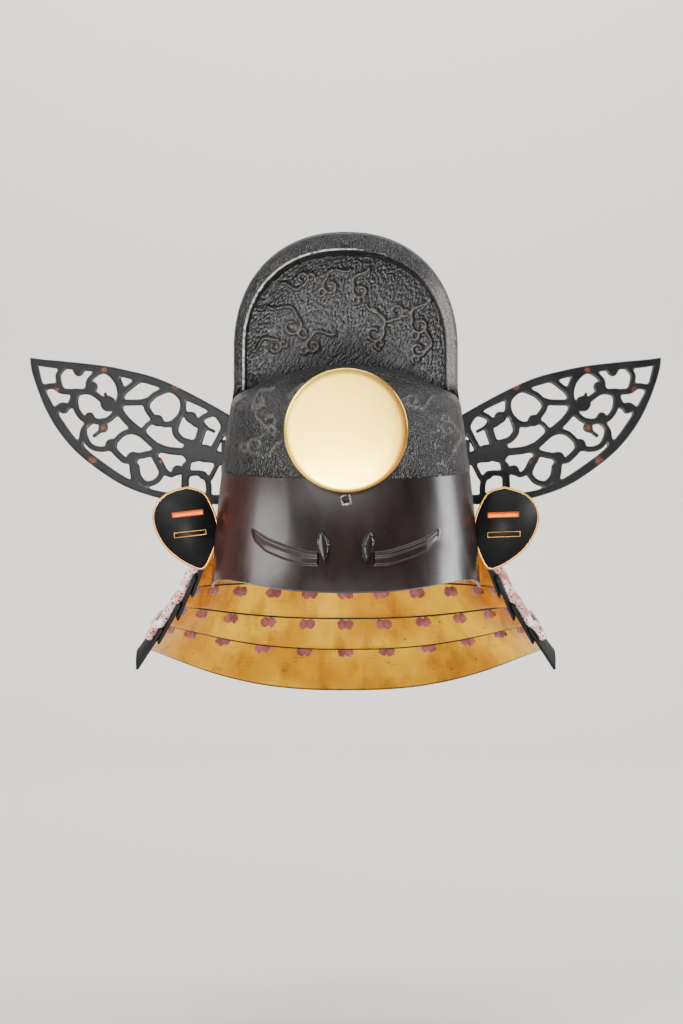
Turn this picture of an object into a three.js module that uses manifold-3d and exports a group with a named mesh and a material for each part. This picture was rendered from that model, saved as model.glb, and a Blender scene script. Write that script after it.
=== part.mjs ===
import * as THREE from "three";
import { mergeVertices } from "three/addons/utils/BufferGeometryUtils.js";
import Module from "manifold-3d";

const wasm = await Module();
wasm.setup();

// A court-cap helmet. Millimetres, +Z up, the face looks along -Y, the origin is the middle of the
// head opening on the bowl's rim. The crest plane, y = 0, parts the low front cap from the tall hood.

// Clearances between pieces
const gap = 0.3;
const facetGap = 0.8;
const restGap = 0.6;

// Bowl and its low front cap
const bowlHalf = 114;
const bowlFront = 122;
const bowlBack = 126;
const capTop = 152;
const bowlWall = 3;
const planPower = 2.5;
const capBand = 9;
const domeStart = 0.3;
const crownStart = 0.7;
const crownEnd = 0.86;

// Hood with its rolled rim and sunk panel
const hoodTop = 268;
const hoodShare = 0.8561;
const hoodHalf = hoodShare * bowlHalf;
const hoodSpring = 165;
const hoodPower = 2.2;
const hoodWall = 3;
const hoodUpright = 0.92;
const archSteps = 5;
const rimFront = 8;
const rimWidthSide = 10;
const rimWidthTop = 18;
const rimSeat = 1.4;
const rimSteps = 26;
const panelThick = 2.5;
const panelTuck = 3;
const panelEdge = 0.4;

// Peak
const peakAngle = 63;
const peakThick = 2.5;
const peakTopFront = 51;
const peakTopSide = 58;
const peakDrop = 92;
const peakFlareFront = 28;
const peakFlareSide = 4.5;
const peakFlarePower = 2.2;
const browRaise = 4.5;
const leafRaise = 3.5;
const browRoot = 1.6;
const crestHole = 6;
const crestHoleHeight = 34;

// Crest disc and its hidden post
const discRadius = 51;
const discThick = 5;
const discHeight = 91;
const discReach = 142;
const postRadius = 5;
const discSides = 40;
const postSides = 12;

// Side wings
const wingLength = 198;
const wingThick = 3;
const wingSquares = 220;
const wingRootTuck = 8.5;
const wingRootBack = 75.3;
const wingTipHeight = 164;
const wingSweep = 6;
const stemCap = 0.8;
const stemSteps = 3;
const budSides = 9;
const bracketThick = 8;
const bracketLong = 30;
const bracketCore = 0.25;
const bracketTall = 46;
const bracketHeight = 66;

// Turn-backs
const turnWide = 54;
const turnTall = 68;
const turnThick = 3;
const turnRimWide = 2.6;
const turnRimThick = 4.2;
const turnTuck = 4.4;
const turnInner = bowlHalf - turnTuck;
const turnFoot = -23.5;
const turnReach = 50;
const turnSteps = 28;

// Neck guard
const lameThick = 2.2;
const lameAhead = turnReach - turnRimThick / 2 - gap;
const lameTopFront = 3;
const lameTopBack = 1;
const lameColumns = 32;
const lameRowCount = 2;
const endLimit = 0.9;
const rearPower = 2.5;
const shareStep = 0.01;
const laceWide = 9;
const laceThick = 2;
const laceColumns = 15;
const laceAngle = 95;
const braidThick = 7.5;
const braidInset = 5;
const braidNear = 0.97;
const braidSides = 6;
const braidSteps = 14;

// Side line shared by the cap and the hood: shares of bowlHalf across and of capTop up
const sideRows = [
  { across: 1, up: 0 },
  { across: 0.972, up: 0.2 },
  { across: 0.943, up: 0.4 },
  { across: 0.907, up: 0.6 },
  { across: 0.874, up: 0.77 },
];

// The cap's shallow arch in the crest plane, the same shares
const capRows = [
  { across: 0.8, up: 0.85 },
  { across: 0.66, up: 0.885 },
  { across: 0.52, up: 0.925 },
  { across: 0.38, up: 0.957 },
  { across: 0.22, up: 0.986 },
];

// Rim section: inset as a share of the rim's width, forward as a share of its depth
const rimRows = [
  { inset: 0, forward: 0 },
  { inset: 0.02, forward: 0.45 },
  { inset: 0.18, forward: 0.8 },
  { inset: 0.55, forward: 1 },
  { inset: 1, forward: 0.86 },
  { inset: 1.5, forward: 0 },
];

const rimCore = { inset: 0.7, forward: 0.5 };

// Lower edge of the peak: away from the middle as a share of the half angle, lift as a share of the drop
const peakEdgeRows = [
  { away: 0, lift: 0 },
  { away: 0.35, lift: 0.02 },
  { away: 0.68, lift: 0.088 },
  { away: 0.86, lift: 0.075 },
  { away: 1, lift: 0.01 },
];

// Raised brow: away as a share of the half angle, upper and lower as shares of the drop,
// swell as a share of the raise
const browRows = [
  { away: 0.545, upper: 0.495, lower: 0.56, swell: 0.35 },
  { away: 0.45, upper: 0.56, lower: 0.67, swell: 0.85 },
  { away: 0.338, upper: 0.605, lower: 0.715, swell: 1 },
  { away: 0.235, upper: 0.64, lower: 0.75, swell: 1 },
  { away: 0.15, upper: 0.65, lower: 0.76, swell: 1 },
];

// Lens leaf at the brow's inner end, the same shares, inner and outer sides of the leaf
const leafRows = [
  { down: 0.455, inner: 0.137, outer: 0.143 },
  { down: 0.52, inner: 0.112, outer: 0.16 },
  { down: 0.6, inner: 0.094, outer: 0.158 },
  { down: 0.68, inner: 0.088, outer: 0.142 },
  { down: 0.745, inner: 0.104, outer: 0.11 },
];

// Sections across the brow and the leaf: cross from the lower or inner side, lift as a share of the raise
const browSection = [
  { cross: 0, lift: 0 },
  { cross: 0.35, lift: 0.5 },
  { cross: 0.75, lift: 1 },
  { cross: 1, lift: 0 },
];
const leafSection = [
  { cross: 0, lift: 0 },
  { cross: 0.5, lift: 1 },
  { cross: 1, lift: 0 },
];

// Turn-back outline: across from the outer side, up from the foot, shares of its width and height
const turnRows = [
  { across: 0.53, up: 1 },
  { across: 0.24, up: 0.93 },
  { across: 0.06, up: 0.8 },
  { across: 0, up: 0.63 },
  { across: 0.06, up: 0.44 },
  { across: 0.2, up: 0.26 },
  { across: 0.4, up: 0.12 },
  { across: 0.62, up: 0.02 },
  { across: 0.78, up: 0 },
  { across: 0.9, up: 0.16 },
  { across: 0.99, up: 0.38 },
  { across: 0.99, up: 0.56 },
  { across: 0.92, up: 0.74 },
  { across: 0.78, up: 0.93 },
];

// Neck guard plates from the top: half and back are the lower edge's reach beyond the bowl's rim,
// dropEnd, dropSide and dropBack its depth below the rim, ahead how far its ends come forward,
// lap the share of its height that the next plate covers
const lameRows = [
  { half: 21, back: 13, dropEnd: 48, dropSide: 42, dropBack: 40, ahead: 44, lap: 0.34 },
  { half: 33, back: 27, dropEnd: 68, dropSide: 59, dropBack: 74, ahead: 43, lap: 0.36 },
  { half: 49, back: 40, dropEnd: 88, dropSide: 75, dropBack: 103, ahead: 42, lap: 0.36 },
  { half: 67, back: 60, dropEnd: 110, dropSide: 95, dropBack: 142, ahead: 41, lap: 0 },
];

// Wing chart, drawn by hand on squares of wingLength / wingSquares from the tip:
// across runs inwards and down runs down
const wingEdge = [
  { across: 0, down: 0 },
  { across: 16, down: 2.2 },
  { across: 36, down: 4 },
  { across: 75, down: 8.5 },
  { across: 100, down: 13.5 },
  { across: 127, down: 20.5 },
  { across: 155, down: 32.5 },
  { across: 188, down: 50 },
  { across: 217, down: 67 },
  { across: 207, down: 147 },
  { across: 185, down: 148 },
  { across: 155, down: 146 },
  { across: 125, down: 140 },
  { across: 95, down: 129 },
  { across: 68, down: 112 },
  { across: 46, down: 94 },
  { across: 29, down: 74 },
  { across: 17, down: 54 },
  { across: 8.5, down: 34 },
  { across: 1, down: 12 },
];
const wingWindow = [
  { across: 9, down: 9 },
  { across: 23, down: 11 },
  { across: 46, down: 13 },
  { across: 69, down: 15.5 },
  { across: 94, down: 20.5 },
  { across: 118, down: 27 },
  { across: 138, down: 33.5 },
  { across: 159, down: 44 },
  { across: 178, down: 53 },
  { across: 199, down: 65 },
  { across: 199, down: 138 },
  { across: 165, down: 138 },
  { across: 130, down: 134 },
  { across: 106, down: 125 },
  { across: 80, down: 109 },
  { across: 52, down: 87 },
  { across: 32, down: 61 },
  { across: 23, down: 46 },
  { across: 14, down: 28 },
];

// Vine stems: each bows to its left by bow squares and has its own width
const stemRows = [
  { from: [202, 103], to: [165, 97], bow: 0, width: 13 },
  { from: [165, 97], to: [133, 94], bow: 0, width: 8 },
  { from: [133, 94], to: [102, 68], bow: 2, width: 7.5 },
  { from: [102, 68], to: [94, 46], bow: 3, width: 9 },
  { from: [94, 46], to: [97, 37], bow: 0, width: 11 },
  { from: [97, 37], to: [87, 13], bow: 0, width: 8.5 },
  { from: [97, 37], to: [114, 24], bow: -2, width: 8.5 },
  { from: [98, 46], to: [119, 46], bow: 0, width: 8 },
  { from: [119, 46], to: [145, 34], bow: 4, width: 6 },
  { from: [119, 46], to: [127, 61], bow: -2, width: 8 },
  { from: [128, 62], to: [148, 80], bow: 0, width: 7.5 },
  { from: [148, 80], to: [158, 95], bow: 0, width: 8 },
  { from: [155, 38], to: [155, 60], bow: 1, width: 7 },
  { from: [155, 60], to: [144, 74], bow: 2, width: 7 },
  { from: [155, 59], to: [163, 63], bow: 0, width: 6 },
  { from: [163, 63], to: [176, 84], bow: 3, width: 9 },
  { from: [176, 84], to: [175, 97], bow: 0, width: 12 },
  { from: [168, 67], to: [189, 61], bow: 3, width: 6 },
  { from: [189, 61], to: [197, 77], bow: 3, width: 7 },
  { from: [197, 77], to: [187, 99], bow: 0, width: 7 },
  { from: [165, 100], to: [160, 120], bow: 0, width: 8 },
  { from: [160, 120], to: [158, 139], bow: 0, width: 9 },
  { from: [137, 96], to: [135, 112], bow: 0, width: 7 },
  { from: [135, 112], to: [120, 134], bow: 1, width: 8 },
  { from: [134, 117], to: [144, 120], bow: 0, width: 5 },
  { from: [144, 120], to: [160, 120], bow: 2, width: 6 },
  { from: [133, 95], to: [106, 103], bow: 1.5, width: 7 },
  { from: [106, 103], to: [109, 129], bow: 0, width: 6.5 },
  { from: [106, 103], to: [90, 101], bow: 3, width: 6 },
  { from: [90, 101], to: [89, 89], bow: 1, width: 7 },
  { from: [89, 89], to: [111, 79], bow: 5, width: 7 },
  { from: [89, 97], to: [58, 93], bow: 0, width: 6 },
  { from: [61, 66], to: [54, 92], bow: 0, width: 6.5 },
  { from: [61, 66], to: [80, 65], bow: 0, width: 5.5 },
  { from: [80, 65], to: [93, 54], bow: -2, width: 7 },
  { from: [77, 46], to: [78, 37], bow: 0, width: 5 },
  { from: [80, 54], to: [94, 54], bow: 0, width: 6.5 },
  { from: [12, 33], to: [40, 35], bow: 0, width: 7 },
  { from: [40, 35], to: [72, 42], bow: 0, width: 6.5 },
  { from: [74, 13], to: [64, 26], bow: -2, width: 6 },
  { from: [64, 26], to: [64, 38], bow: 0, width: 6 },
  { from: [36, 11], to: [28, 33], bow: -2, width: 7 },
  { from: [48, 37], to: [43, 56], bow: -1, width: 6.5 },
  { from: [43, 56], to: [60, 67], bow: -2, width: 6.5 },
  { from: [43, 54], to: [25, 57], bow: 0, width: 9 },
  { from: [160, 120], to: [180, 121], bow: 1, width: 6 },
  { from: [180, 121], to: [182, 139], bow: 3, width: 6.5 },
  { from: [181, 121], to: [194, 103], bow: 0, width: 6 },
];

// Round buds on the vine
const budRows = [
  { at: [128, 62], radius: 5.5 },
  { at: [163, 63], radius: 6 },
  { at: [160, 120], radius: 7 },
  { at: [106, 103], radius: 6 },
  { at: [150, 116], radius: 4.5 },
  { at: [82.5, 89], radius: 5 },
  { at: [61, 66], radius: 5.5 },
  { at: [75, 71], radius: 5.5 },
  { at: [77, 50], radius: 9.5 },
  { at: [68.5, 29], radius: 5.5 },
  { at: [50, 15], radius: 6 },
  { at: [36, 53], radius: 5 },
  { at: [28, 33], radius: 5 },
  { at: [176, 124], radius: 4 },
];

// Finishes
function finish(color, roughness, metalness) {
  return new THREE.MeshStandardMaterial({ color, roughness, metalness });
}

const blackLeather = finish("#2a2727", 0.5, 0);
const brownLacquer = finish("#33241f", 0.15, 0);
const blackLacquer = finish("#1b1a1c", 0.25, 0);
const giltMetal = finish("#e6c98a", 0.3, 0.9);
const goldLacquer = finish("#c89a45", 0.4, 0.6);
const pinkSilk = finish("#c9a09a", 0.9, 0);
const plainIron = finish("#4a4642", 0.6, 0.6);

// Solids
function bare(geometry) {
  geometry.deleteAttribute("normal");
  geometry.deleteAttribute("uv");
  return mergeVertices(geometry, 1e-4);
}

function signedVolume(positions, index) {
  const corner = [new THREE.Vector3(), new THREE.Vector3(), new THREE.Vector3()];
  let volume = 0;
  for (let i = 0; i < index.length; i += 3) {
    corner.forEach((point, j) => point.fromBufferAttribute(positions, index[i + j]));
    volume += corner[0].dot(corner[1].cross(corner[2])) / 6;
  }
  return volume;
}

// Drops the triangles that a pole has flattened, and turns the faces outwards.
function closed(geometry) {
  const merged = mergeVertices(geometry, 1e-3);
  const source = merged.index.array;
  const index = [];
  for (let i = 0; i < source.length; i += 3) {
    const [a, b, c] = [source[i], source[i + 1], source[i + 2]];
    if (a !== b && b !== c && c !== a) {
      index.push(a, b, c);
    }
  }
  if (signedVolume(merged.attributes.position, index) < 0) {
    index.reverse();
  }
  merged.setIndex(index);
  return merged;
}

// Moves every point of a closed solid to place(point).
function reshape(geometry, place) {
  const solid = bare(geometry);
  const positions = solid.attributes.position;
  const point = new THREE.Vector3();
  for (let i = 0; i < positions.count; i += 1) {
    const moved = place(point.fromBufferAttribute(positions, i));
    positions.setXYZ(i, moved.x, moved.y, moved.z);
  }
  return closed(solid);
}

// A sheet of cells: place takes the column, the row and 0 for outside or 1 for inside.
function sheet(columns, rows, place) {
  const box = new THREE.BoxGeometry(columns, rows, 1, columns, rows, 1);
  return reshape(box, (p) =>
    place(Math.round(p.x + columns / 2), Math.round(p.y + rows / 2), Math.round(p.z + 0.5)));
}

function toManifold(geometry) {
  const solid = closed(bare(geometry));
  const vertProperties = new Float32Array(solid.attributes.position.array);
  const triVerts = new Uint32Array(solid.index.array);
  return new wasm.Manifold(new wasm.Mesh({ numProp: 3, vertProperties, triVerts }));
}

function fromManifold(manifold) {
  const mesh = manifold.getMesh();
  const geometry = new THREE.BufferGeometry();
  geometry.setAttribute("position", new THREE.BufferAttribute(mesh.vertProperties, 3));
  geometry.setIndex(new THREE.BufferAttribute(mesh.triVerts, 1));
  return geometry;
}

function piece(name, geometry, material) {
  const mesh = new THREE.Mesh(geometry, material);
  mesh.name = name;
  return mesh;
}

// Reads one column of a table at a place between its rows.
function readRows(rows, key, at, column) {
  const next = Math.max(1, rows.findIndex((row) => row[key] >= at));
  const [low, high] = [rows[next - 1], rows[next]];
  const share = THREE.MathUtils.clamp((at - low[key]) / (high[key] - low[key]), 0, 1);
  return THREE.MathUtils.lerp(low[column], high[column], share);
}

const radians = THREE.MathUtils.degToRad;

// How much a section in y shrinks towards the front or back end, from 1 at the crest plane to 0.
function shrink(share) {
  return Math.max(0, 1 - share ** planPower) ** (1 / planPower);
}

// Outlines in the crest plane, from one foot over the top to the other
function mirrored(half, top) {
  const left = half.map((p) => new THREE.Vector2(-p.x, p.y));
  return [...left, top, ...half.slice().reverse()];
}

function sidePoints() {
  return sideRows.map((row) => new THREE.Vector2(row.across * bowlHalf, row.up * capTop));
}

function capOutline(steps) {
  const crown = capRows.map((row) => new THREE.Vector2(row.across * bowlHalf, row.up * capTop));
  const half = [...sidePoints(), ...crown];
  return new THREE.SplineCurve(mirrored(half, new THREE.Vector2(0, capTop))).getSpacedPoints(steps);
}

function archPoint(turn) {
  const across = hoodHalf * Math.cos(turn) ** (2 / hoodPower);
  const up = hoodSpring + (hoodTop - hoodSpring) * Math.sin(turn) ** (2 / hoodPower);
  return new THREE.Vector2(across, up);
}

function hoodOutline(steps) {
  const arch = Array.from({ length: archSteps }, (_, i) => archPoint((i * Math.PI) / 2 / archSteps));
  const half = [...sidePoints(), new THREE.Vector2(hoodHalf, capTop * hoodUpright), ...arch];
  return new THREE.SplineCurve(mirrored(half, new THREE.Vector2(0, hoodTop))).getSpacedPoints(steps);
}

const outlineSteps = 30;
const capLine = capOutline(outlineSteps);
const hoodLine = hoodOutline(outlineSteps);
const fineCap = capOutline(120);
const fineHood = hoodOutline(120);

// Height of an outline's upper part at a distance from the middle
function crownHeight(line, x) {
  const across = -Math.abs(x);
  const crown = line.filter((p) => p.y > capTop * crownStart);
  const next = Math.max(1, crown.findIndex((p) => p.x >= across));
  const [low, high] = [crown[next - 1], crown[next]];
  return low.y + ((high.y - low.y) * (across - low.x)) / (high.x - low.x);
}

function sideHalf(z) {
  const up = THREE.MathUtils.clamp(z / capTop, 0, sideRows[sideRows.length - 1].up);
  return bowlHalf * readRows(sideRows, "up", up, "across");
}

// Bowl: full width at the cap and its band, stepped in behind it to let the hood on; the inner face
// is deep under the step already where the band begins
const bowlStations = [
  { along: -1, step: 0, deep: 0 },
  { along: -0.985, step: 0, deep: 0 },
  { along: -0.93, step: 0, deep: 0 },
  { along: -0.83, step: 0, deep: 0 },
  { along: -0.68, step: 0, deep: 0 },
  { along: -0.48, step: 0, deep: 0 },
  { along: -0.25, step: 0, deep: 0 },
  { along: 0, step: 0, deep: 1 },
  { along: capBand / bowlBack, step: 0, deep: 1 },
  { along: capBand / bowlBack, step: 1, deep: 1 },
  { along: 0.35, step: 1, deep: 1 },
  { along: 0.6, step: 1, deep: 1 },
  { along: 0.79, step: 1, deep: 1 },
  { along: 0.93, step: 1, deep: 1 },
  { along: 1, step: 1, deep: 1 },
];

function bowl() {
  const setIn = hoodWall + facetGap;
  const shape = sheet(outlineSteps, bowlStations.length - 1, (column, row, inside) => {
    const { along, step, deep } = bowlStations[row];
    const inset = inside ? deep * setIn + bowlWall : step * setIn;
    const size = shrink(Math.abs(along));
    const reach = along < 0 ? bowlFront : bowlBack;
    const y = along * (reach - (Math.abs(along) > domeStart ? inset : 0));
    const x = (capLine[column].x * size * (bowlHalf - inset)) / bowlHalf;
    const z = (capLine[column].y * size * (capTop - inset)) / capTop;
    return new THREE.Vector3(x, y, z);
  });
  return piece("bowl", shape, blackLeather);
}

// Hood: the tall arch, closed down to the back of the rim
const hoodStations = [0.18, 0.34, 0.5, 0.64, 0.77, 0.88, 0.955, 1];

function hoodPlace(outline, along, inset) {
  const size = shrink(along);
  const y = along * (bowlBack - (along > domeStart ? inset : 0));
  const x = (outline.x * size * (bowlHalf - inset)) / bowlHalf;
  const z = (outline.y * size * (hoodTop - inset)) / hoodTop;
  return new THREE.Vector3(x, y, z);
}

function hood() {
  const stations = [(capBand + gap) / bowlBack, ...hoodStations];
  const shape = sheet(outlineSteps, stations.length - 1, (column, row, inside) =>
    hoodPlace(hoodLine[column], stations[row], inside * hoodWall));
  return piece("hood", shape, blackLeather);
}

// Rolled rim along the hood's front edge, its feet standing on the cap's shoulders
function hoodRim() {
  const standing = fineHood.filter((p) => p.y > capTop * 0.8);
  const line = new THREE.SplineCurve(standing).getSpacedPoints(rimSteps);
  const tube = new THREE.CylinderGeometry(1, 1, rimSteps, rimRows.length, rimSteps);
  const shape = reshape(tube, (p) => {
    const step = Math.round(p.y + rimSteps / 2);
    const middle = Math.hypot(p.x, p.z) < 0.5;
    const turn = (Math.atan2(p.x, p.z) / (2 * Math.PI) + 1) % 1;
    const ring = Math.round(turn * rimRows.length) % rimRows.length;
    const row = middle ? rimCore : rimRows[ring];
    const climb = THREE.MathUtils.clamp((line[step].y - hoodSpring) / (hoodTop - hoodSpring), 0, 1);
    const width = THREE.MathUtils.lerp(rimWidthSide, rimWidthTop, climb ** 2);
    const inward = new THREE.Vector2(-line[step].x, Math.min(0, hoodSpring - line[step].y)).normalize();
    const x = line[step].x + inward.x * row.inset * width;
    const flatZ = line[step].y + inward.y * row.inset * width;
    const foot = crownHeight(fineCap, THREE.MathUtils.clamp(x, -hoodHalf, hoodHalf)) + rimSeat;
    const atEnd = step === 0 || step === rimSteps;
    const z = atEnd ? foot : Math.max(flatZ, foot + 1);
    const y = THREE.MathUtils.lerp(capBand, -rimFront, row.forward);
    return new THREE.Vector3(x, y, z);
  });
  return piece("hood_rim", shape, blackLeather);
}

// Sunk panel behind the rim
function hoodPanel() {
  const columns = 20;
  const rows = 6;
  const half = hoodHalf - hoodWall - facetGap;
  const shape = sheet(columns, rows, (column, row, inside) => {
    const across = Math.sin(((column / columns) * 2 - 1) * (Math.PI / 2)) * half;
    const outerX = (across * hoodHalf) / half;
    const edge = hoodHalf - panelEdge;
    const top = crownHeight(hoodLine, THREE.MathUtils.clamp(outerX, -edge, edge));
    const high = top * ((hoodTop - hoodWall - restGap) / hoodTop);
    const low = crownHeight(fineCap, across) - panelTuck;
    const y = capBand + gap + inside * panelThick;
    return new THREE.Vector3(across, y, THREE.MathUtils.lerp(low, high, row / rows));
  });
  return piece("hood_panel", shape, blackLeather);
}

// Distance from the middle to the cap's outside at a plan angle from the front and a height
function capReach(angle, height) {
  const z = THREE.MathUtils.clamp(height, 0, capTop * crownStart);
  let [low, high] = [0, bowlHalf + bowlFront];
  while (high - low > 0.01) {
    const reach = (low + high) / 2;
    const size = shrink(Math.min(1, (reach * Math.cos(angle)) / bowlFront));
    const half = size > 0 ? size * sideHalf(z / size) : 0;
    const across = reach * Math.sin(angle);
    const roof = size > 0 ? size * crownHeight(fineCap, Math.min(across / size, crownEnd * bowlHalf)) : 0;
    const inside = across < half && z < roof;
    [low, high] = inside ? [reach, high] : [low, reach];
  }
  return low;
}

function peakHeight(away, down) {
  const top = THREE.MathUtils.lerp(peakTopFront, peakTopSide, away ** 2);
  const edge = peakTopFront - peakDrop * (1 - readRows(peakEdgeRows, "away", Math.min(away, 1), "lift"));
  return THREE.MathUtils.lerp(top, edge, down);
}

// A point on the peak: share of the half angle to the side, share of the drop, and height over
// its inner face
function peakPoint(side, down, raise) {
  const away = Math.abs(side);
  const angle = away * radians(peakAngle);
  const z = peakHeight(away, down);
  const flare = THREE.MathUtils.lerp(peakFlareFront, peakFlareSide, away ** 1.5);
  const reach = capReach(angle, z) + facetGap + flare * down ** peakFlarePower + raise;
  return new THREE.Vector3(Math.sign(side) * reach * Math.sin(angle), -reach * Math.cos(angle), z);
}

function brow(hand) {
  return sheet(browRows.length - 1, browSection.length - 1, (column, row, inside) => {
    const { away, upper, lower, swell } = browRows[column];
    const { cross, lift } = browSection[row];
    const down = THREE.MathUtils.lerp(lower, upper, cross);
    const raise = peakThick + browRaise * swell * lift;
    return peakPoint(hand * away, down, inside ? peakThick - browRoot : raise + gap);
  });
}

function leaf(hand) {
  return sheet(leafRows.length - 1, leafSection.length - 1, (column, row, inside) => {
    const { down, inner, outer } = leafRows[column];
    const { cross, lift } = leafSection[row];
    const away = THREE.MathUtils.lerp(inner, outer, cross);
    const raise = peakThick + gap + leafRaise * lift;
    return peakPoint(hand * away, down, inside ? peakThick - browRoot : raise);
  });
}

function peak() {
  const columns = 30;
  const rows = 9;
  const plate = sheet(columns, rows, (column, row, inside) =>
    peakPoint((column / columns) * 2 - 1, row / rows, inside ? 0 : peakThick));
  const hole = new THREE.BoxGeometry(crestHole, bowlFront, crestHole);
  hole.translate(0, -bowlFront, crestHoleHeight);
  let solid = toManifold(plate);
  for (const hand of [-1, 1]) {
    solid = solid.add(toManifold(brow(hand)));
    solid = solid.add(toManifold(leaf(hand)));
  }
  return piece("peak", fromManifold(solid.subtract(toManifold(hole))), brownLacquer);
}

// Crest disc, a shallow lens with a rounded edge
const discProfile = [
  { out: 0, through: 1 },
  { out: 0.45, through: 0.96 },
  { out: 0.8, through: 0.82 },
  { out: 0.96, through: 0.62 },
  { out: 1, through: 0.35 },
  { out: 0.97, through: 0.08 },
  { out: 0.9, through: 0 },
  { out: 0, through: 0 },
];

function crestDisc() {
  const profile = discProfile.map(
    (row) => new THREE.Vector2(row.out * discRadius, row.through * discThick)).reverse();
  const shape = closed(bare(new THREE.LatheGeometry(profile, discSides)));
  const disc = piece("crest_disc", shape, giltMetal);
  disc.rotation.x = Math.PI;
  disc.position.set(0, discThick - discReach, discHeight);
  return disc;
}

function discPost() {
  const back = discThick + gap - discReach;
  const foot = -capReach(0, discHeight - postRadius) + gap;
  const shape = closed(bare(new THREE.CylinderGeometry(postRadius, postRadius, foot - back, postSides)));
  const post = piece("disc_post", shape, plainIron);
  post.position.set(0, (foot + back) / 2, discHeight);
  return post;
}

// Wings
const wingSquare = wingLength / wingSquares;

function chartPoint(across, down) {
  return new THREE.Vector2(across * wingSquare, -down * wingSquare);
}

function slab(outline) {
  const shape = new THREE.Shape(outline);
  return toManifold(new THREE.ExtrudeGeometry(shape, { depth: wingThick, bevelEnabled: false }));
}

function stemOutline(row) {
  const start = chartPoint(...row.from);
  const end = chartPoint(...row.to);
  const along = end.clone().sub(start);
  const left = new THREE.Vector2(-along.y, along.x).normalize();
  const middle = start.clone().lerp(end, 0.5).addScaledVector(left, row.bow * wingSquare);
  const curve = new THREE.SplineCurve([start, middle, end]);
  const steps = row.bow === 0 ? 1 : stemSteps;
  const half = (row.width * wingSquare) / 2;
  const sides = [[], []];
  for (let i = 0; i <= steps; i += 1) {
    const tangent = curve.getTangent(i / steps);
    const normal = new THREE.Vector2(-tangent.y, tangent.x);
    const point = curve.getPoint(i / steps);
    sides[0].push(point.clone().addScaledVector(normal, half));
    sides[1].unshift(point.clone().addScaledVector(normal, -half));
  }
  const cap = (t, way) => curve.getPoint(t).addScaledVector(curve.getTangent(t), way * half * stemCap);
  return [cap(0, -1), ...sides[0], cap(1, 1), ...sides[1]];
}

function budOutline(row) {
  const centre = chartPoint(...row.at);
  const curve = new THREE.EllipseCurve(centre.x, centre.y, row.radius * wingSquare, row.radius * wingSquare);
  return curve.getPoints(budSides).slice(0, -1);
}

function wingShape() {
  const edge = slab(wingEdge.map((row) => chartPoint(row.across, row.down)));
  const window = slab(wingWindow.map((row) => chartPoint(row.across, row.down)));
  const stems = stemRows.map((row) => slab(stemOutline(row)));
  const buds = budRows.map((row) => slab(budOutline(row)));
  const vine = [...stems, ...buds].reduce((all, one) => all.add(one));
  return edge.subtract(window).add(vine.intersect(edge));
}

function handed(geometry, hand) {
  const copy = geometry.clone();
  if (hand > 0) {
    copy.scale(-1, 1, 1);
  }
  return closed(copy);
}

// A point of the wing's back edge line in plan, at a distance outwards from its root
function wingLine(out) {
  const turn = radians(wingSweep);
  return new THREE.Vector2(hoodHalf - wingRootTuck + out * Math.cos(turn), wingRootBack + out * Math.sin(turn));
}

// The wing's face looks forward, its root nearer than its tip by the sweep.
function placeWing(mesh, hand) {
  const tip = wingLine(wingLength);
  mesh.rotation.set(Math.PI / 2, 0, 0);
  mesh.position.set(0, wingThick, 0);
  const group = new THREE.Group();
  group.add(mesh);
  group.position.set(hand * tip.x, tip.y, wingTipHeight);
  group.rotation.z = hand * radians(wingSweep);
  return group;
}

function wing(name, shape, hand) {
  return placeWing(piece(name, handed(shape, hand), blackLacquer), hand);
}

// Hidden plate that carries the wing's root on the side of the hood
function wingBracket(name, hand) {
  const root = wingLine(bracketLong / 4);
  const block = new THREE.BoxGeometry(bracketLong, bracketThick, bracketTall);
  block.rotateZ(hand * radians(wingSweep));
  const away = wingThick + gap * 2 + bracketThick / 2;
  block.translate(hand * root.x, root.y + away, bracketHeight);
  const stations = [0, ...hoodStations];
  const filled = sheet(outlineSteps, stations.length - 1, (column, row, inside) => {
    const out = hoodPlace(hoodLine[column], stations[row], -restGap);
    return inside ? new THREE.Vector3(0, out.y, out.z * bracketCore) : out;
  });
  return piece(name, fromManifold(toManifold(block).subtract(toManifold(filled))), plainIron);
}

// Turn-backs
function turnOutline(inset, steps) {
  const points = turnRows.map(
    (row) => new THREE.Vector2((row.across - 0.5) * turnWide, (row.up - 0.5) * turnTall));
  const loop = new THREE.SplineCurve([...points, points[0]]).getSpacedPoints(steps).slice(0, -1);
  return loop.map((point, i) => {
    const before = loop[(i + steps - 1) % steps];
    const after = loop[(i + 1) % steps];
    const along = after.clone().sub(before).normalize();
    return new THREE.Vector2(point.x - along.y * inset, point.y + along.x * inset);
  });
}

function placeTurn(mesh, hand, thick) {
  mesh.rotation.x = Math.PI / 2;
  const x = hand * (turnInner + turnWide / 2);
  mesh.position.set(x, -turnReach + thick / 2, turnFoot + turnTall / 2);
  return mesh;
}

function turnback(name, hand) {
  const shape = new THREE.Shape(turnOutline(turnRimWide / 2 + gap, turnSteps));
  const plate = bare(new THREE.ExtrudeGeometry(shape, { depth: turnThick, bevelEnabled: false }));
  return placeTurn(piece(name, handed(plate, hand), blackLacquer), hand, turnThick);
}

function turnbackRim(name, hand) {
  const shape = new THREE.Shape(turnOutline(0, turnSteps));
  shape.holes.push(new THREE.Path(turnOutline(turnRimWide / 2, turnSteps)));
  const ring = bare(new THREE.ExtrudeGeometry(shape, { depth: turnRimThick, bevelEnabled: false }));
  return placeTurn(piece(name, handed(ring, hand), giltMetal), hand, turnRimThick);
}

// Neck guard: the parameter of a plate's front end, set by how far forward it comes
function endTurn(ahead, front) {
  return Math.PI / 2 + Math.asin(Math.min(endLimit, ahead / front) ** (planPower / 2));
}

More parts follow.
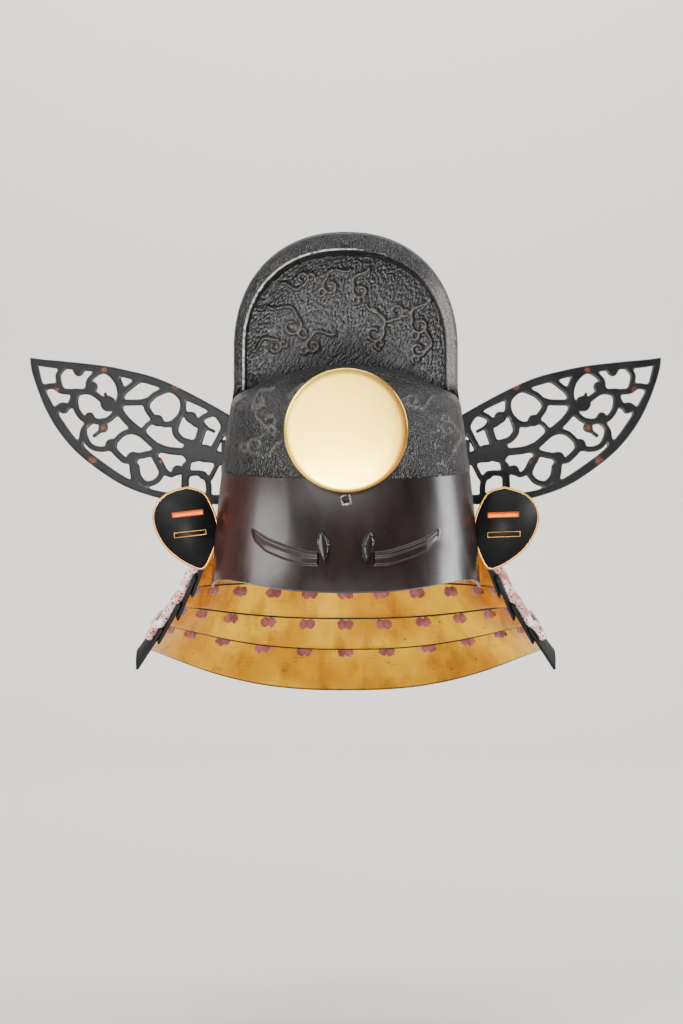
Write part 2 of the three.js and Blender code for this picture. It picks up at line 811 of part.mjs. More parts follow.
// The plan of an edge at a given reach beyond the rim
function ringPoint(share, grow, back, ahead, ends, side, rear) {
  const half = bowlHalf + grow;
  const front = bowlFront + grow;
  const deep = bowlBack + back;
  const turn = share * endTurn(ahead, front);
  const x = half * Math.sign(turn) * Math.abs(Math.sin(turn)) ** (2 / planPower);
  const reach = Math.cos(turn) > 0 ? deep : front;
  const y = reach * Math.sign(Math.cos(turn)) * Math.abs(Math.cos(turn)) ** (2 / planPower);
  const z = y > 0
    ? THREE.MathUtils.lerp(side, rear, (y / deep) ** rearPower)
    : THREE.MathUtils.lerp(side, ends, Math.min(1, -y / ahead) ** 2);
  return new THREE.Vector3(x, y, z);
}

function lameEdges(number) {
  const row = lameRows[number];
  const bottom = (share, out) =>
    ringPoint(share, row.half + out, row.back + out, row.ahead, -row.dropEnd, -row.dropSide, -row.dropBack);
  if (number === 0) {
    const out = facetGap + lameThick;
    const top = (share, extra) =>
      ringPoint(share, out + extra, out + extra, lameAhead, lameTopFront, lameTopFront, lameTopBack);
    return { top, bottom };
  }
  const above = lameEdges(number - 1);
  const lap = 1 - lameRows[number - 1].lap;
  const step = lameThick + facetGap;
  const top = (share, extra) => above.top(share, step + extra).lerp(above.bottom(share, step + extra), lap);
  return { top, bottom };
}

function lamePoint(number, share, down, out) {
  const { top, bottom } = lameEdges(number);
  return top(share, out).lerp(bottom(share, out), down);
}

function lame(number) {
  const shape = sheet(lameColumns, lameRowCount, (column, row, inside) =>
    lamePoint(number, (column / lameColumns) * 2 - 1, row / lameRowCount, inside ? -lameThick : 0));
  return piece(`lame_${number + 1}`, shape, goldLacquer);
}

// Lacing columns down the outside: each row is a plate, a share of its height
const laceRows = [
  { plate: 0, down: 0.2 },
  { plate: 0, down: 0.56 },
  { plate: 1, down: -0.05 },
  { plate: 1, down: 0.56 },
  { plate: 2, down: -0.05 },
  { plate: 2, down: 0.56 },
  { plate: 3, down: -0.05 },
  { plate: 3, down: 0.3 },
];

// Share of a plate's half length at a plan angle from the back
function laceShare(angle) {
  const bent = (value) => Math.sign(value) * Math.abs(value) ** (planPower / 2);
  const turn = Math.atan2(bent(Math.sin(angle)), bent(Math.cos(angle)));
  return turn / endTurn(lameRows[0].ahead, bowlFront + lameRows[0].half);
}

function lace(number) {
  const share = laceShare(radians(laceAngle) * ((number / (laceColumns - 1)) * 2 - 1));
  const shape = sheet(1, laceRows.length - 1, (column, row, inside) => {
    const { plate, down } = laceRows[row];
    const out = facetGap + (inside ? 0 : laceThick);
    const middle = lamePoint(plate, share, down, out);
    const ahead = lamePoint(plate, share + shareStep, down, out);
    const along = ahead.sub(middle).setZ(0).normalize();
    return middle.addScaledVector(along, (column - 0.5) * laceWide);
  });
  return piece(`lacing_${number + 1}`, shape, pinkSilk);
}

// Edge braids down the front ends of the plates
function edgeBraid(name, hand) {
  const path = laceRows.map(({ plate, down }) => {
    const out = facetGap + restGap + braidThick / 2;
    const end = lamePoint(plate, hand, down, out);
    const inner = lamePoint(plate, hand * braidNear, down, out);
    return end.addScaledVector(inner.sub(end).normalize(), braidInset);
  });
  const section = new THREE.Shape(new THREE.EllipseCurve(0, 0, braidThick / 2, braidThick / 2).getPoints(braidSides));
  const shape = bare(new THREE.ExtrudeGeometry(section, {
    steps: braidSteps,
    bevelEnabled: false,
    extrudePath: new THREE.CatmullRomCurve3(path),
  }));
  return piece(name, closed(shape), pinkSilk);
}

const helmet = new THREE.Group();
helmet.add(bowl());
helmet.add(hood());
helmet.add(hoodRim());
helmet.add(hoodPanel());
helmet.add(peak());
helmet.add(crestDisc());
helmet.add(discPost());
for (let number = 0; number < lameRows.length; number += 1) {
  helmet.add(lame(number));
}
for (let number = 0; number < laceColumns; number += 1) {
  helmet.add(lace(number));
}
const pierced = fromManifold(wingShape());
for (const [side, hand] of [["left", -1], ["right", 1]]) {
  helmet.add(wing(`wing_${side}`, pierced, hand));
  helmet.add(wingBracket(`wing_bracket_${side}`, hand));
  helmet.add(turnback(`turnback_${side}`, hand));
  helmet.add(turnbackRim(`turnback_rim_${side}`, hand));
  helmet.add(edgeBraid(`edge_braid_${side}`, hand));
}

export default helmet;
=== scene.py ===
import random
import bmesh
import bpy
import numpy as np
from math import asin, atan2, copysign, cos, dist, exp, hypot, pi, radians, sin, sqrt, tau
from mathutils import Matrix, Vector, kdtree, noise


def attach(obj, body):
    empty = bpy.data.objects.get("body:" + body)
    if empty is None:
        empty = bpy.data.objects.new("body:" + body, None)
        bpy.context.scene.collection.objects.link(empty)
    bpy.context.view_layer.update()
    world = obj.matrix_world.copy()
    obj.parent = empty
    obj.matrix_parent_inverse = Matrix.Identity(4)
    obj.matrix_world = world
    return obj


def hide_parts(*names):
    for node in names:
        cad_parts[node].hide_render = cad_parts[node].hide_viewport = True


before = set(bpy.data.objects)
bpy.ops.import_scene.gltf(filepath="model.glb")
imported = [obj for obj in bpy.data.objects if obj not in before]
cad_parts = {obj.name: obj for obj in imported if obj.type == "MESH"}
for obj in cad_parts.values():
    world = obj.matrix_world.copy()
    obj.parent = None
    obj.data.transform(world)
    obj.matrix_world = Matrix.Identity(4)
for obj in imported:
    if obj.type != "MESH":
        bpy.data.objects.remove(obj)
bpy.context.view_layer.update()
mm = 0.001
random.seed(7)

# The helmet looks along -Y, its crest plane is y = 0 and its rim z = 0. Sizes below are millimetres.
bowl = dict(half=114, front=122, back=126, top=152, power=2.5, wall=3, band=9, step=3.8)
cap = dict(lean=0.13, curve=0.043, sideEnd=0.8, drop=25, archHalf=90, spring=117, bend=(97.5, 127), archStart=82,
           corner=6, cornerFoot=106)
capSkin = dict(back=50, fade=6, foot=60, footFade=20, scroll=2.3, grain=0.15, seam=52, seamHalf=1.4, seamRise=0.9,
               seamFoot=60, bareFoot=20)
hood = dict(top=268, half=97.6, spring=165, power=2.2)
rim = dict(front=8, side=10, crown=18, start=0.72, foot=119, fade=12, lump=0.45, lumpSize=9)
# A painted highlight band along the rim's roll on the right side, between these heights
rimSheen = dict(across=62, low=128, lowFade=10, high=236, fade=22, band=3.2, amount=0.8)
peak = dict(angle=63, thick=2.5, topFront=51, topSide=58, drop=92, flareFront=28, flareSide=4.5,
            flarePower=2.2, clear=0.8, brow=4.6, leaf=5.2, hole=6, holeHeight=34)
disc = dict(radius=51, thick=5, height=91, reach=142)
wing = dict(length=198, squares=220, thick=3, tip=286, height=164, back=96, sweep=6, bevel=1.1,
            cell=0.85, blend=3.0, rim=0.35)
turn = dict(wide=54, tall=68, thick=3, rim=2.6, inner=109.6, foot=-23.5, reach=50)
plates = dict(thick=2.2, topFront=3, topBack=1, ahead=47.6, clear=0.8, columns=15, angle=95,
              rearPower=2.5)
lace = dict(apart=2.6, radius=2.0, lift=1.6)
tuft = dict(wide=4.5, deep=2.2, up=6, down=5, apart=3.1, rough=0.35)
braid = dict(lift=4.4, inward=5, turn=0.42, wave=0.9, swell=0.12, radius=1.8)
camera = dict(distance=2400, across=-3.7, height=24, lens=96.98, sensor=36)
stageSize = dict(floor=-420, wide=4000, near=-4000, wall=3600, bend=900)

plateRows = [
    dict(half=21, back=13, dropEnd=48, dropSide=42, dropBack=40, ahead=44, lap=0.34),
    dict(half=33, back=27, dropEnd=68, dropSide=59, dropBack=74, ahead=43, lap=0.36),
    dict(half=49, back=40, dropEnd=88, dropSide=75, dropBack=103, ahead=42, lap=0.36),
    dict(half=67, back=60, dropEnd=110, dropSide=95, dropBack=142, ahead=41, lap=0),
]


# Colour and nodes
def colour(code):
    channels = [int(code[i:i + 2], 16) / 255 for i in (1, 3, 5)]
    linear = [c / 12.92 if c <= 0.04045 else ((c + 0.055) / 1.055) ** 2.4 for c in channels]
    return (*linear, 1)


def addNode(tree, kind, settings=None, **inputs):
    node = tree.nodes.new(kind)
    for name, value in (settings or {}).items():
        setattr(node, name, value)
    for name, value in inputs.items():
        socket = node.inputs[int(name[1:])] if name[1:].isdigit() else node.inputs[name.replace("_", " ")]
        if isinstance(value, bpy.types.NodeSocket):
            tree.links.new(value, socket)
        else:
            socket.default_value = colour(value) if isinstance(value, str) else value
    return node


def newMaterial(name):
    material = bpy.data.materials.new(name)
    material.use_nodes = True
    tree = material.node_tree
    tree.nodes.clear()
    return material, tree


# One shader ends each material. bump holds the height, its strength and its depth in millimetres.
def finishMaterial(tree, bump=None, **inputs):
    if bump:
        height, strength, depth = bump
        relief = addNode(tree, "ShaderNodeBump", Strength=strength, Distance=depth * mm, Height=height)
        inputs["Normal"] = relief.outputs["Normal"]
    shader = addNode(tree, "ShaderNodeBsdfPrincipled", **inputs)
    addNode(tree, "ShaderNodeOutputMaterial", Surface=shader.outputs["BSDF"])


def ramp(tree, factor, stops):
    node = addNode(tree, "ShaderNodeValToRGB", Fac=factor)
    elements = node.color_ramp.elements
    while len(elements) < len(stops):
        elements.new(0.5)
    for element, (place, code) in zip(elements, stops):
        element.position = place
        element.color = colour(code)
    return node.outputs["Color"]


def mixColour(tree, factor, first, second):
    node = addNode(tree, "ShaderNodeMix", dict(data_type="RGBA"), i0=factor, i6=first, i7=second)
    return node.outputs[2]


def level(tree, value, low, high, toLow=0.0, toHigh=1.0):
    node = addNode(tree, "ShaderNodeMapRange", Value=value, From_Min=low, From_Max=high,
                   To_Min=toLow, To_Max=toHigh)
    return node.outputs["Result"]


# Object coordinates, with the pattern drawn out by stretch along its axes and then turned
def objectPattern(tree, stretch=(1, 1, 1), turned=(0, 0, 0)):
    place = addNode(tree, "ShaderNodeTexCoord").outputs["Object"]
    return addNode(tree, "ShaderNodeMapping", dict(vector_type="TEXTURE"), Vector=place, Scale=stretch,
                   Rotation=turned).outputs["Vector"]


# Noise and cells with blots of size millimetres
def noiseAt(tree, place, size, detail, output="Fac"):
    node = addNode(tree, "ShaderNodeTexNoise", Vector=place, Scale=1 / (size * mm), Detail=detail)
    return node.outputs[output]


def cellsAt(tree, place, size, settings=None, **inputs):
    node = addNode(tree, "ShaderNodeTexVoronoi", settings, Vector=place, Scale=1 / (size * mm), **inputs)
    return node.outputs["Distance"]


def times(tree, first, second):
    return addNode(tree, "ShaderNodeMath", dict(operation="MULTIPLY"), i0=first, i1=second).outputs["Value"]


def attribute(tree, name):
    return addNode(tree, "ShaderNodeAttribute", dict(attribute_name=name)).outputs["Fac"]


# Embossed leather under black lacquer: long pebbles of grain lie on a slant, their tops painted a dull grey
# as a painted sheen and the lines between them painted black as painted shade. Pebbles are grain mm wide.
# A vertex attribute marks where the leather is painted pale as a painted highlight.
def leatherMaterial(name, grain, slant, depth, dark, light):
    material, tree = newMaterial(name)
    pattern = objectPattern(tree, (1, 1, 2.3), (0, slant, 0))
    moved = addNode(tree, "ShaderNodeVectorMath", dict(operation="MULTIPLY_ADD"),
                    i0=noiseAt(tree, pattern, 6, 2, "Color"), i1=(0.002, 0.002, 0.002), i2=pattern)
    cells = cellsAt(tree, moved.outputs["Vector"], grain, dict(feature="SMOOTH_F1"), Smoothness=0.35)
    fine = noiseAt(tree, pattern, 0.6, 3)
    broad = noiseAt(tree, objectPattern(tree), 38, 3)
    tops = level(tree, cells, 0.08, 0.7, 1, 0)
    height = addNode(tree, "ShaderNodeMath", dict(operation="MULTIPLY_ADD"), i0=fine, i1=0.2, i2=tops)
    # Painted shade and sheen: the grain's creases are painted near black and its tops paler
    base = ramp(tree, tops, [(0.05, "#050404"), (0.55, dark), (1, light)])
    # Painted sheen: grey patches painted on the pebble tops
    paintedTopSheen = times(tree, tops, level(tree, broad, 0.45, 0.7, 0, 0.7))
    shade = mixColour(tree, paintedTopSheen, base, "#3a3533")
    # Painted highlight: the leather is painted pale grey where the vertex attribute is high
    sheenShare = times(tree, attribute(tree, "paintedSheen"), level(tree, fine, 0.35, 0.62, 0.25, 1))
    finishMaterial(tree, (height.outputs["Value"], 1, depth), Base_Color=mixColour(tree, sheenShare, shade, "#8f8a86"),
                   Roughness=level(tree, broad, 0.3, 0.75, 0.32, 0.46), IOR=1.47)
    return material


# Leather edge rubbed down to pale grey ground, in short broken runs. On the rim's crest the same pale grey is also a
# painted highlight.
def paleEdgeAndSheenMaterial():
    material, tree = newMaterial("paleEdgeLeatherAndSheen")
    place = objectPattern(tree)
    grit = noiseAt(tree, place, 0.8, 3)
    base = ramp(tree, noiseAt(tree, place, 3.5, 4), [(0.32, "#4b4643"), (0.5, "#9a9591"), (0.7, "#c9c5c0")])
    finishMaterial(tree, (grit, 0.6, 0.4), Base_Color=base, Roughness=level(tree, grit, 0.3, 0.7, 0.42, 0.6))
    return material


# Polished urushi lacquer over leather: deep brown-black with a wet gloss, painted a lighter red-brown
# towards the wearer's right end, which faces the key lamp: painted light, with some wear
def brownLacquerMaterial():
    material, tree = newMaterial("polishedBrownUrushi")
    place = objectPattern(tree)
    broad = noiseAt(tree, place, 40, 4)
    haze = noiseAt(tree, objectPattern(tree, (1, 1, 3)), 14, 5)
    specks = noiseAt(tree, place, 1.5, 2)
    across = addNode(tree, "ShaderNodeSeparateXYZ", Vector=place).outputs["X"]
    base = ramp(tree, broad, [(0.3, "#0d0706"), (0.55, "#170b09"), (0.8, "#211010")])
    # Painted light with some wear: the end that faces the key lamp is painted a lighter red-brown
    litRedShare = times(tree, level(tree, across, -0.045, -0.105), level(tree, haze, 0.3, 0.65, 0.35, 0.9))
    worn = mixColour(tree, litRedShare, base, "#3d201c")
    dusty = mixColour(tree, level(tree, specks, 0.72, 0.8, 0, 0.2), worn, "#6a5c56")
    finishMaterial(tree, (broad, 0.08, 0.6), Base_Color=dusty, Roughness=level(tree, haze, 0.35, 0.75, 0.27, 0.38),
                   IOR=1.47, Coat_Weight=0.15, Coat_Roughness=0.2)
    return material


# Black urushi on cut leather: satin, painted grey along the cut edges, partly lacquer worn thin and partly a painted
# highlight where light catches the edges; red undercoat where rubbed
def blackLacquerMaterial(name, edges, shine, roughness):
    material, tree = newMaterial(name)
    place = objectPattern(tree)
    broad = noiseAt(tree, place, 14, 5)
    fine = noiseAt(tree, place, 1.2, 3)
    base = ramp(tree, broad, [(0.3, "#040405"), (0.6, "#08080a"), (0.85, "#100f10")])
    if edges:
        # Worn lacquer and painted highlight: grey along the cut edges
        edgeWearAndSheen = times(tree, attribute(tree, "edge"), level(tree, broad, 0.3, 0.6, 0.5, 1))
        base = mixColour(tree, edgeWearAndSheen, base, "#5f5a58")
        patchy = times(tree, attribute(tree, "wear"), level(tree, fine, 0.42, 0.58))
        base = mixColour(tree, patchy, base, "#8a4a34")
    finishMaterial(tree, (fine, 0.08, 0.3), Base_Color=base, IOR=1.45, Specular_IOR_Level=shine,
                   Roughness=level(tree, broad, 0.3, 0.7, roughness * 0.85, roughness * 1.15))
    return material


# Gold lacquer inside the plates: gold dust in amber lacquer, rubbed along the plates, scratched,
# with dark specks where it has chipped
def goldLacquerMaterial():
    material, tree = newMaterial("goldDustLacquer")
    place = objectPattern(tree)
    smudge = noiseAt(tree, objectPattern(tree, (1, 1, 2.8)), 16, 5)
    scratch = noiseAt(tree, objectPattern(tree, (20, 20, 1)), 1.3, 3)
    base = ramp(tree, noiseAt(tree, place, 60, 3), [(0.3, "#b87404"), (0.5, "#dc9c08"), (0.7, "#f8c018")])
    rubbed = mixColour(tree, level(tree, smudge, 0.5, 0.72, 0, 0.6), base, "#84480a")
    lines = mixColour(tree, level(tree, scratch, 0.64, 0.72, 0, 0.5), rubbed, "#5e3a12")
    chips = level(tree, cellsAt(tree, place, 14, Randomness=1.0), 0.085, 0.06, 0, 0.8)
    finishMaterial(tree, (scratch, 0.12, 0.2), Base_Color=mixColour(tree, chips, lines, "#4a2d12"), Metallic=0.9,
                   Roughness=level(tree, smudge, 0.3, 0.8, 0.2, 0.34), Coat_Weight=0.15, Coat_Roughness=0.12)
    return material


# Gilt copper, hand burnished: pale gold, brushed softly upwards. Painted shade starts at an edge: past
# clean millimetres from the point (across, up) the gold is painted browner, as shade where the edge turns away.
def giltMaterial(name, light, dark, roughness, metal=0.85, paintedEdgeShade=None):
    material, tree = newMaterial(name)
    place = objectPattern(tree)
    brushed = noiseAt(tree, objectPattern(tree, (1, 1, 20)), 1.6, 4)
    base = mixColour(tree, level(tree, noiseAt(tree, place, 30, 3), 0.4, 0.75, 0, 0.5), light, dark)
    # Painted shade: browner towards the edge
    if paintedEdgeShade:
        flat = addNode(tree, "ShaderNodeVectorMath", dict(operation="MULTIPLY"), i0=place, i1=(1, 0, 1))
        away = addNode(tree, "ShaderNodeVectorMath", dict(operation="DISTANCE"), i0=flat.outputs["Vector"],
                       i1=(paintedEdgeShade["across"] * mm, 0, paintedEdgeShade["up"] * mm))
        shadeShare = level(tree, away.outputs["Value"], paintedEdgeShade["clean"] * mm,
                        (paintedEdgeShade["clean"] + paintedEdgeShade["fade"]) * mm, 0, 0.85)
        base = mixColour(tree, shadeShare, base, paintedEdgeShade["tint"])
    finishMaterial(tree, (brushed, 0.02, 0.15), Base_Color=base, Metallic=metal,
                   Roughness=level(tree, brushed, 0.3, 0.7, roughness * 0.94, roughness * 1.06))
    return material


# Braided silk, dry and fibrous, faded unevenly, with flecks where the braid has a third colour
def silkMaterial(name, light, dark, fleck=None):
    material, tree = newMaterial(name)
    place = objectPattern(tree)
    base = mixColour(tree, level(tree, noiseAt(tree, place, 9, 4), 0.35, 0.65), light, dark)
    if fleck:
        base = mixColour(tree, level(tree, cellsAt(tree, place, 2.6), 0.36, 0.28, 0, 0.95), base, fleck)
    finishMaterial(tree, (noiseAt(tree, place, 0.6, 5), 0.7, 0.5), Base_Color=base, Roughness=0.85, IOR=1.5,
                   Sheen_Weight=0.4, Sheen_Roughness=0.4)
    return material


def ironMaterial():
    material, tree = newMaterial("blackenedIron")
    patches = noiseAt(tree, objectPattern(tree), 5, 5)
    finishMaterial(tree, (patches, 0.3, 0.3), Base_Color=ramp(tree, patches, [(0.3, "#2a2725"), (0.7, "#4c4540")]),
                   Roughness=level(tree, patches, 0.3, 0.7, 0.45, 0.7), Metallic=0.8)
    return material


capLeather = leatherMaterial("embossedCapLeather", 1.4, 0.35, 1.0, "#0f0d0c", "#1f1b1a")
panelLeather = leatherMaterial("embossedPanelLeather", 1.6, 0.62, 0.5, "#0c0909", "#171313")
paleEdgeAndSheen = paleEdgeAndSheenMaterial()
brownUrushi = brownLacquerMaterial()
wingUrushi = blackLacquerMaterial("blackUrushiCutEdges", True, 0.35, 0.36)
blackUrushi = blackLacquerMaterial("blackUrushiPlain", False, 0.25, 0.58)
goldUrushi = goldLacquerMaterial()
# Painted shade on the disc's right and lower edge, where its rim turns away from the light
discPaintedShade = dict(across=-7, up=disc["height"] + 3, clean=45, fade=12, tint="#b06c1e")
discGilt = giltMaterial("burnishedGiltDisc", "#ffd858", "#ffcc4a", 0.26, 0.75, discPaintedShade)
rimGilt = giltMaterial("giltEdging", "#dd9f4c", "#a5642a", 0.35)
roseSilk = silkMaterial("fadedRoseSilk", "#964e49", "#682e2c")
pinkSilk = silkMaterial("palePinkSilk", "#dcb7b0", "#c18f88")
braidSilk = silkMaterial("speckledEdgeSilk", "#efe2da", "#b8645e", "#1b1219")
iron = ironMaterial()
stripeLacquer = giltMaterial("orangeGoldStripe", "#c65a18", "#9a4210", 0.45)
print("materials made")


# Mesh helpers
def lerp(a, b, t):
    return a + (b - a) * t


def clamp(value, low, high):
    return max(low, min(high, value))


# The lesser of two distances, rounded over width where they meet
def blendIn(a, b, width):
    h = np.clip(0.5 + 0.5 * (b - a) / width, 0, 1)
    return b + (a - b) * h - width * h * (1 - h)


def turned(x, z, angle):
    return x * cos(angle) - z * sin(angle), x * sin(angle) + z * cos(angle)


def evenly(points, count):
    lengths = [0]
    for a, b in zip(points, points[1:]):
        lengths.append(lengths[-1] + dist(a, b))
    steps = np.linspace(0, lengths[-1], count)
    return np.stack([np.interp(steps, lengths, [p[k] for p in points]) for k in range(len(points[0]))], axis=1)


def addObject(name, data):
    made = bpy.data.objects.new(name, data)
    bpy.context.scene.collection.objects.link(made)
    return made


def toObject(bm, name, *materials):
    mesh = bpy.data.meshes.new(name)
    bm.to_mesh(mesh)
    bm.free()
    for material in materials:
        mesh.materials.append(material)
    return addObject(name, mesh)


def smooth(piece, sharp=35):
    piece.data.polygons.foreach_set("use_smooth", [True] * len(piece.data.polygons))
    piece.data.set_sharp_from_angle(angle=radians(sharp))
    return piece


def dress(piece, slot, *nodes):
    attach(piece, "root")
    if nodes:
        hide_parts(*nodes)
    return piece


# A grid of columns by rows whose points go to place(u, v), both from 0 to 1
def sheet(columns, rows, place):
    bm = bmesh.new()
    bmesh.ops.create_grid(bm, x_segments=columns, y_segments=rows, size=0.5)
    for vert in bm.verts:
        vert.co = Vector(place(vert.co.x + 0.5, vert.co.y + 0.5)) * mm
    bmesh.ops.remove_doubles(bm, verts=bm.verts, dist=0.00002)
    return bm


def faceOutwards(bm, outside):
    bm.normal_update()
    face = max(bm.faces, key=lambda f: f.calc_center_median().dot(Vector(outside)))
    if face.normal.dot(Vector(outside)) < 0:
        bmesh.ops.reverse_faces(bm, faces=bm.faces)
    return bm


def thicken(piece, thick, edge=0):
    wall = piece.modifiers.new("wall", "SOLIDIFY")
    wall.thickness = thick * mm
    wall.offset = -1
    wall.material_offset = edge
    wall.material_offset_rim = 0
    return piece


# A round cord through points given in millimetres. A fourth value is its thickness there.
def cordAlong(name, paths, radius, material, sides=3, closedLoop=False):
    curve = bpy.data.curves.new(name, "CURVE")
    curve.dimensions = "3D"
    curve.bevel_depth = radius * mm
    curve.bevel_resolution = sides
    curve.use_fill_caps = True
    for path in paths:
        spline = curve.splines.new("POLY")
        spline.points.add(len(path) - 1)
        for point, place in zip(spline.points, path):
            point.co = (place[0] * mm, place[1] * mm, place[2] * mm, 1)
            point.radius = place[3] if len(place) > 3 else 1
        spline.use_cyclic_u = closedLoop
        spline.use_smooth = True
    curve.materials.append(material)
    return addObject(name, curve)


# Form of the cap and the hood
def shrink(share):
    return max(0.0, 1 - abs(share) ** bowl["power"]) ** (1 / bowl["power"])


def sideShare(up):
    return 1 - cap["lean"] * up - cap["curve"] * up * up


def sideHalf(z):
    return bowl["half"] * sideShare(clamp(z / bowl["top"], 0, cap["sideEnd"]))


def capArch(x):
    return bowl["top"] - cap["drop"] * (x / cap["archHalf"]) ** 2


def capProfile():
    foot = [(sideHalf(z), z) for z in np.linspace(0, cap["spring"], 60)]
    start, bend, end = Vector(foot[-1]), Vector(cap["bend"]), Vector((cap["archStart"], capArch(cap["archStart"])))
    corner = [start.lerp(bend, t).lerp(bend.lerp(end, t), t) for t in np.linspace(0, 1, 20)[1:]]
    arch = [(x, capArch(x)) for x in np.linspace(cap["archStart"] - 1, 0, 40)]
    return foot + [tuple(p) for p in corner] + arch


def hoodProfile():
    foot = [(max(bowl["half"] * sideShare(z / bowl["top"]), hood["half"]), z)
            for z in np.linspace(0, hood["spring"], 70)]
    arch = []
    for angle in np.linspace(0, pi / 2, 90)[1:]:
        across = hood["half"] * cos(angle) ** (2 / hood["power"])
        up = (hood["top"] - hood["spring"]) * sin(angle) ** (2 / hood["power"])
        arch.append((across, hood["spring"] + up))
    return foot + arch


def bothSides(half, count):
    left = [(-x, z) for x, z in half]
    return evenly(left + list(reversed(half[:-1])), count)


# Cloud scrolls pressed up in the leather: the middle of a curl, its radius, the way its tail runs
# in degrees, and 1 or -1 for the way it winds
panelScrolls = [
    (-13, 221, 7.5, 30, 1),
    (13, 217, 7, 60, 1),
    (-47, 186, 9, 150, -1),
    (-28, 169, 7, 20, 1),
    (-62, 168, 6.5, 200, -1),
    (25, 180, 8.5, 115, -1),
    (44, 199, 7, 165, 1),
    (65, 187, 8, 60, 1),
    (63, 166, 7, 80, -1),
    (-38, 228, 6, 185, 1),
]
capScrolls = [
    (-64, 101, 7, 100, 1),
    (-76, 80, 7.5, 15, -1),
    (-72, 117, 5.5, 40, 1),
    (86, 94, 7, 280, 1),
    (56, 118, 6, 20, -1),
    (-40, 123, 5, 10, 1),
]


def scrollPaths(x, z, radius, tail, hand):
    heading = radians(tail)

    def at(angle, reach, across=0, up=0):
        return (x + across + reach * cos(angle), z + up + reach * sin(angle))

    curl = [at(heading + hand * (pi / 2 + t * 1.9 * pi), radius * (1 - 0.6 * t))
            for t in np.linspace(0, 1, 40)]
    stem, bud = [], []
    for t in np.linspace(0, 1, 24):
        across, up = turned(radius * 3 * t, radius * (1 + 0.55 * sin(t * 1.6 * pi)) * hand, heading)
        stem.append((x + across, z + up))
        angle = heading + pi + hand * (0.4 + t * 1.7 * pi)
        bud.append(at(angle, radius * 0.55 * (1 - 0.5 * t), *turned(-radius * 1.25, 0, heading)))
    return [curl, stem, bud]


def scrollTree(rows):
    points = []
    for row in rows:
        for path in scrollPaths(*row):
            points += [tuple(p) for p in evenly(path, 60)]
    tree = kdtree.KDTree(len(points))
    for i, (x, z) in enumerate(points):
        tree.insert((x, 0, z), i)
    tree.balance()
    return tree


def ridge(tree, x, z, width=1.3):
    distance = tree.find((x, 0, z))[2]
    return exp(-(distance / width) ** 2)


# The raised scrolls are painted a little paler than their ground: a painted highlight on their tops
def paintReliefSheen(bm, tree, amount):
    paintedSheen = bm.verts.layers.float.new("paintedSheen")
    for vert in bm.verts:
        vert[paintedSheen] = amount * ridge(tree, vert.co.x / mm, vert.co.z / mm)


panelTree = scrollTree(panelScrolls)
capTree = scrollTree(capScrolls)


def wrinkles(x, y, z, size, slant):
    across, along = turned(x, z, slant)
    first = noise.noise(Vector((across / size, y / size, along / (size * 2.6))))
    second = noise.noise(Vector((across / size * 2.1, y / size * 2 + 9, along / (size * 1.6))))
    return first + 0.5 * second


# Columns and rows lie closer where the cap's curls are
capColumns = ([0, 0.09, 0.45, 0.55, 0.91, 1], [0, 0.14, 0.4, 0.6, 0.86, 1])
capRows = ([0, 0.18, 0.82, 1], [0, 0.28, 0.78, 1])
capLine = bothSides(capProfile(), 281)


def capPlace(u, v):
    column = float(np.interp(u, *capColumns)) * (len(capLine) - 1)
    line = [np.interp(column, range(len(capLine)), capLine[:, k]) for k in (0, 1)]
    along = -cos(float(np.interp(v, *capRows)) * pi / 2)
    size = shrink(along)
    x, z, y = line[0] * size, line[1] * size, along * bowl["front"]
    if z <= capSkin["bareFoot"]:
        return Vector((x, y, z))
    normal = Vector((x / bowl["half"] ** 1.6, y / bowl["front"] ** 1.6, z / 500)).normalized()
    skin = clamp((abs(y) - capSkin["back"]) / capSkin["fade"], 0, 1)
    skin *= clamp((abs(y) + z * 2 - capSkin["foot"]) / capSkin["footFade"], 0, 1)
    relief = skin * (capSkin["scroll"] * ridge(capTree, x, z) + capSkin["grain"] * wrinkles(x, y, z, 2.0, 0.5))
    if z > capSkin["seamFoot"]:
        relief += capSkin["seamRise"] * exp(-((abs(y) - capSkin["seam"]) / capSkin["seamHalf"]) ** 2)
    return Vector((x, y, z)) + normal * relief


# The bowl's back lies a step inside the hood
def backPlace(u, v):
    line = capLine[int(round(u * (len(capLine) - 1)))]
    along = sin(v * pi / 2)
    size = shrink(along)
    inset = bowl["step"] * clamp((along * bowl["back"] - bowl["band"]) / 0.4, 0, 1)
    return (line[0] * size * (bowl["half"] - inset) / bowl["half"], along * (bowl["back"] - inset),
            line[1] * size * (bowl["top"] - inset) / bowl["top"])


def makeBowl():
    front = sheet(280, 150, capPlace)
    paintReliefSheen(front, capTree, 0.3)
    shell = toObject(faceOutwards(front, (0, -1, 0)), "capLeatherFront", capLeather)
    thicken(smooth(shell, 60), bowl["wall"])
    dress(shell, "leather", "bowl")
    back = sheet(280, 40, backPlace)
    dome = toObject(faceOutwards(back, (0, 1, 0)), "bowlBack", blackUrushi)
    thicken(smooth(dome, 60), bowl["wall"])
    dress(dome, "leather", "bowl")


makeBowl()
print("bowl and cap made")

# Hood: the arch runs forward to the rolled rim, over its crest and back to the sunk panel
hoodLine = bothSides(hoodProfile(), 261)


# The rim's width at a point of the hood's line, and the way from there to its middle
def rimAt(line):
    climb = clamp((line[1] - hood["spring"]) / (hood["top"] - hood["spring"]), 0, 1)
    inward = Vector((-line[0], min(0, hood["spring"] - line[1]))).normalized()
    return lerp(rim["side"], rim["crown"], climb ** 2), inward


# The rim's section: shares of its roll, and how far in and forward it lies there
rimStations = [0, 0.14, 0.28, 0.42, 0.56, 0.64, 0.7, 0.76, 1]
rimInsets = [0, 0.01, 0.12, 0.4, 0.72, 0.86, 0.96, 1.03, 1.14]
rimForwards = [0, 0.45, 0.78, 0.96, 0.97, 1.03, 1.05, 0.94, 0]


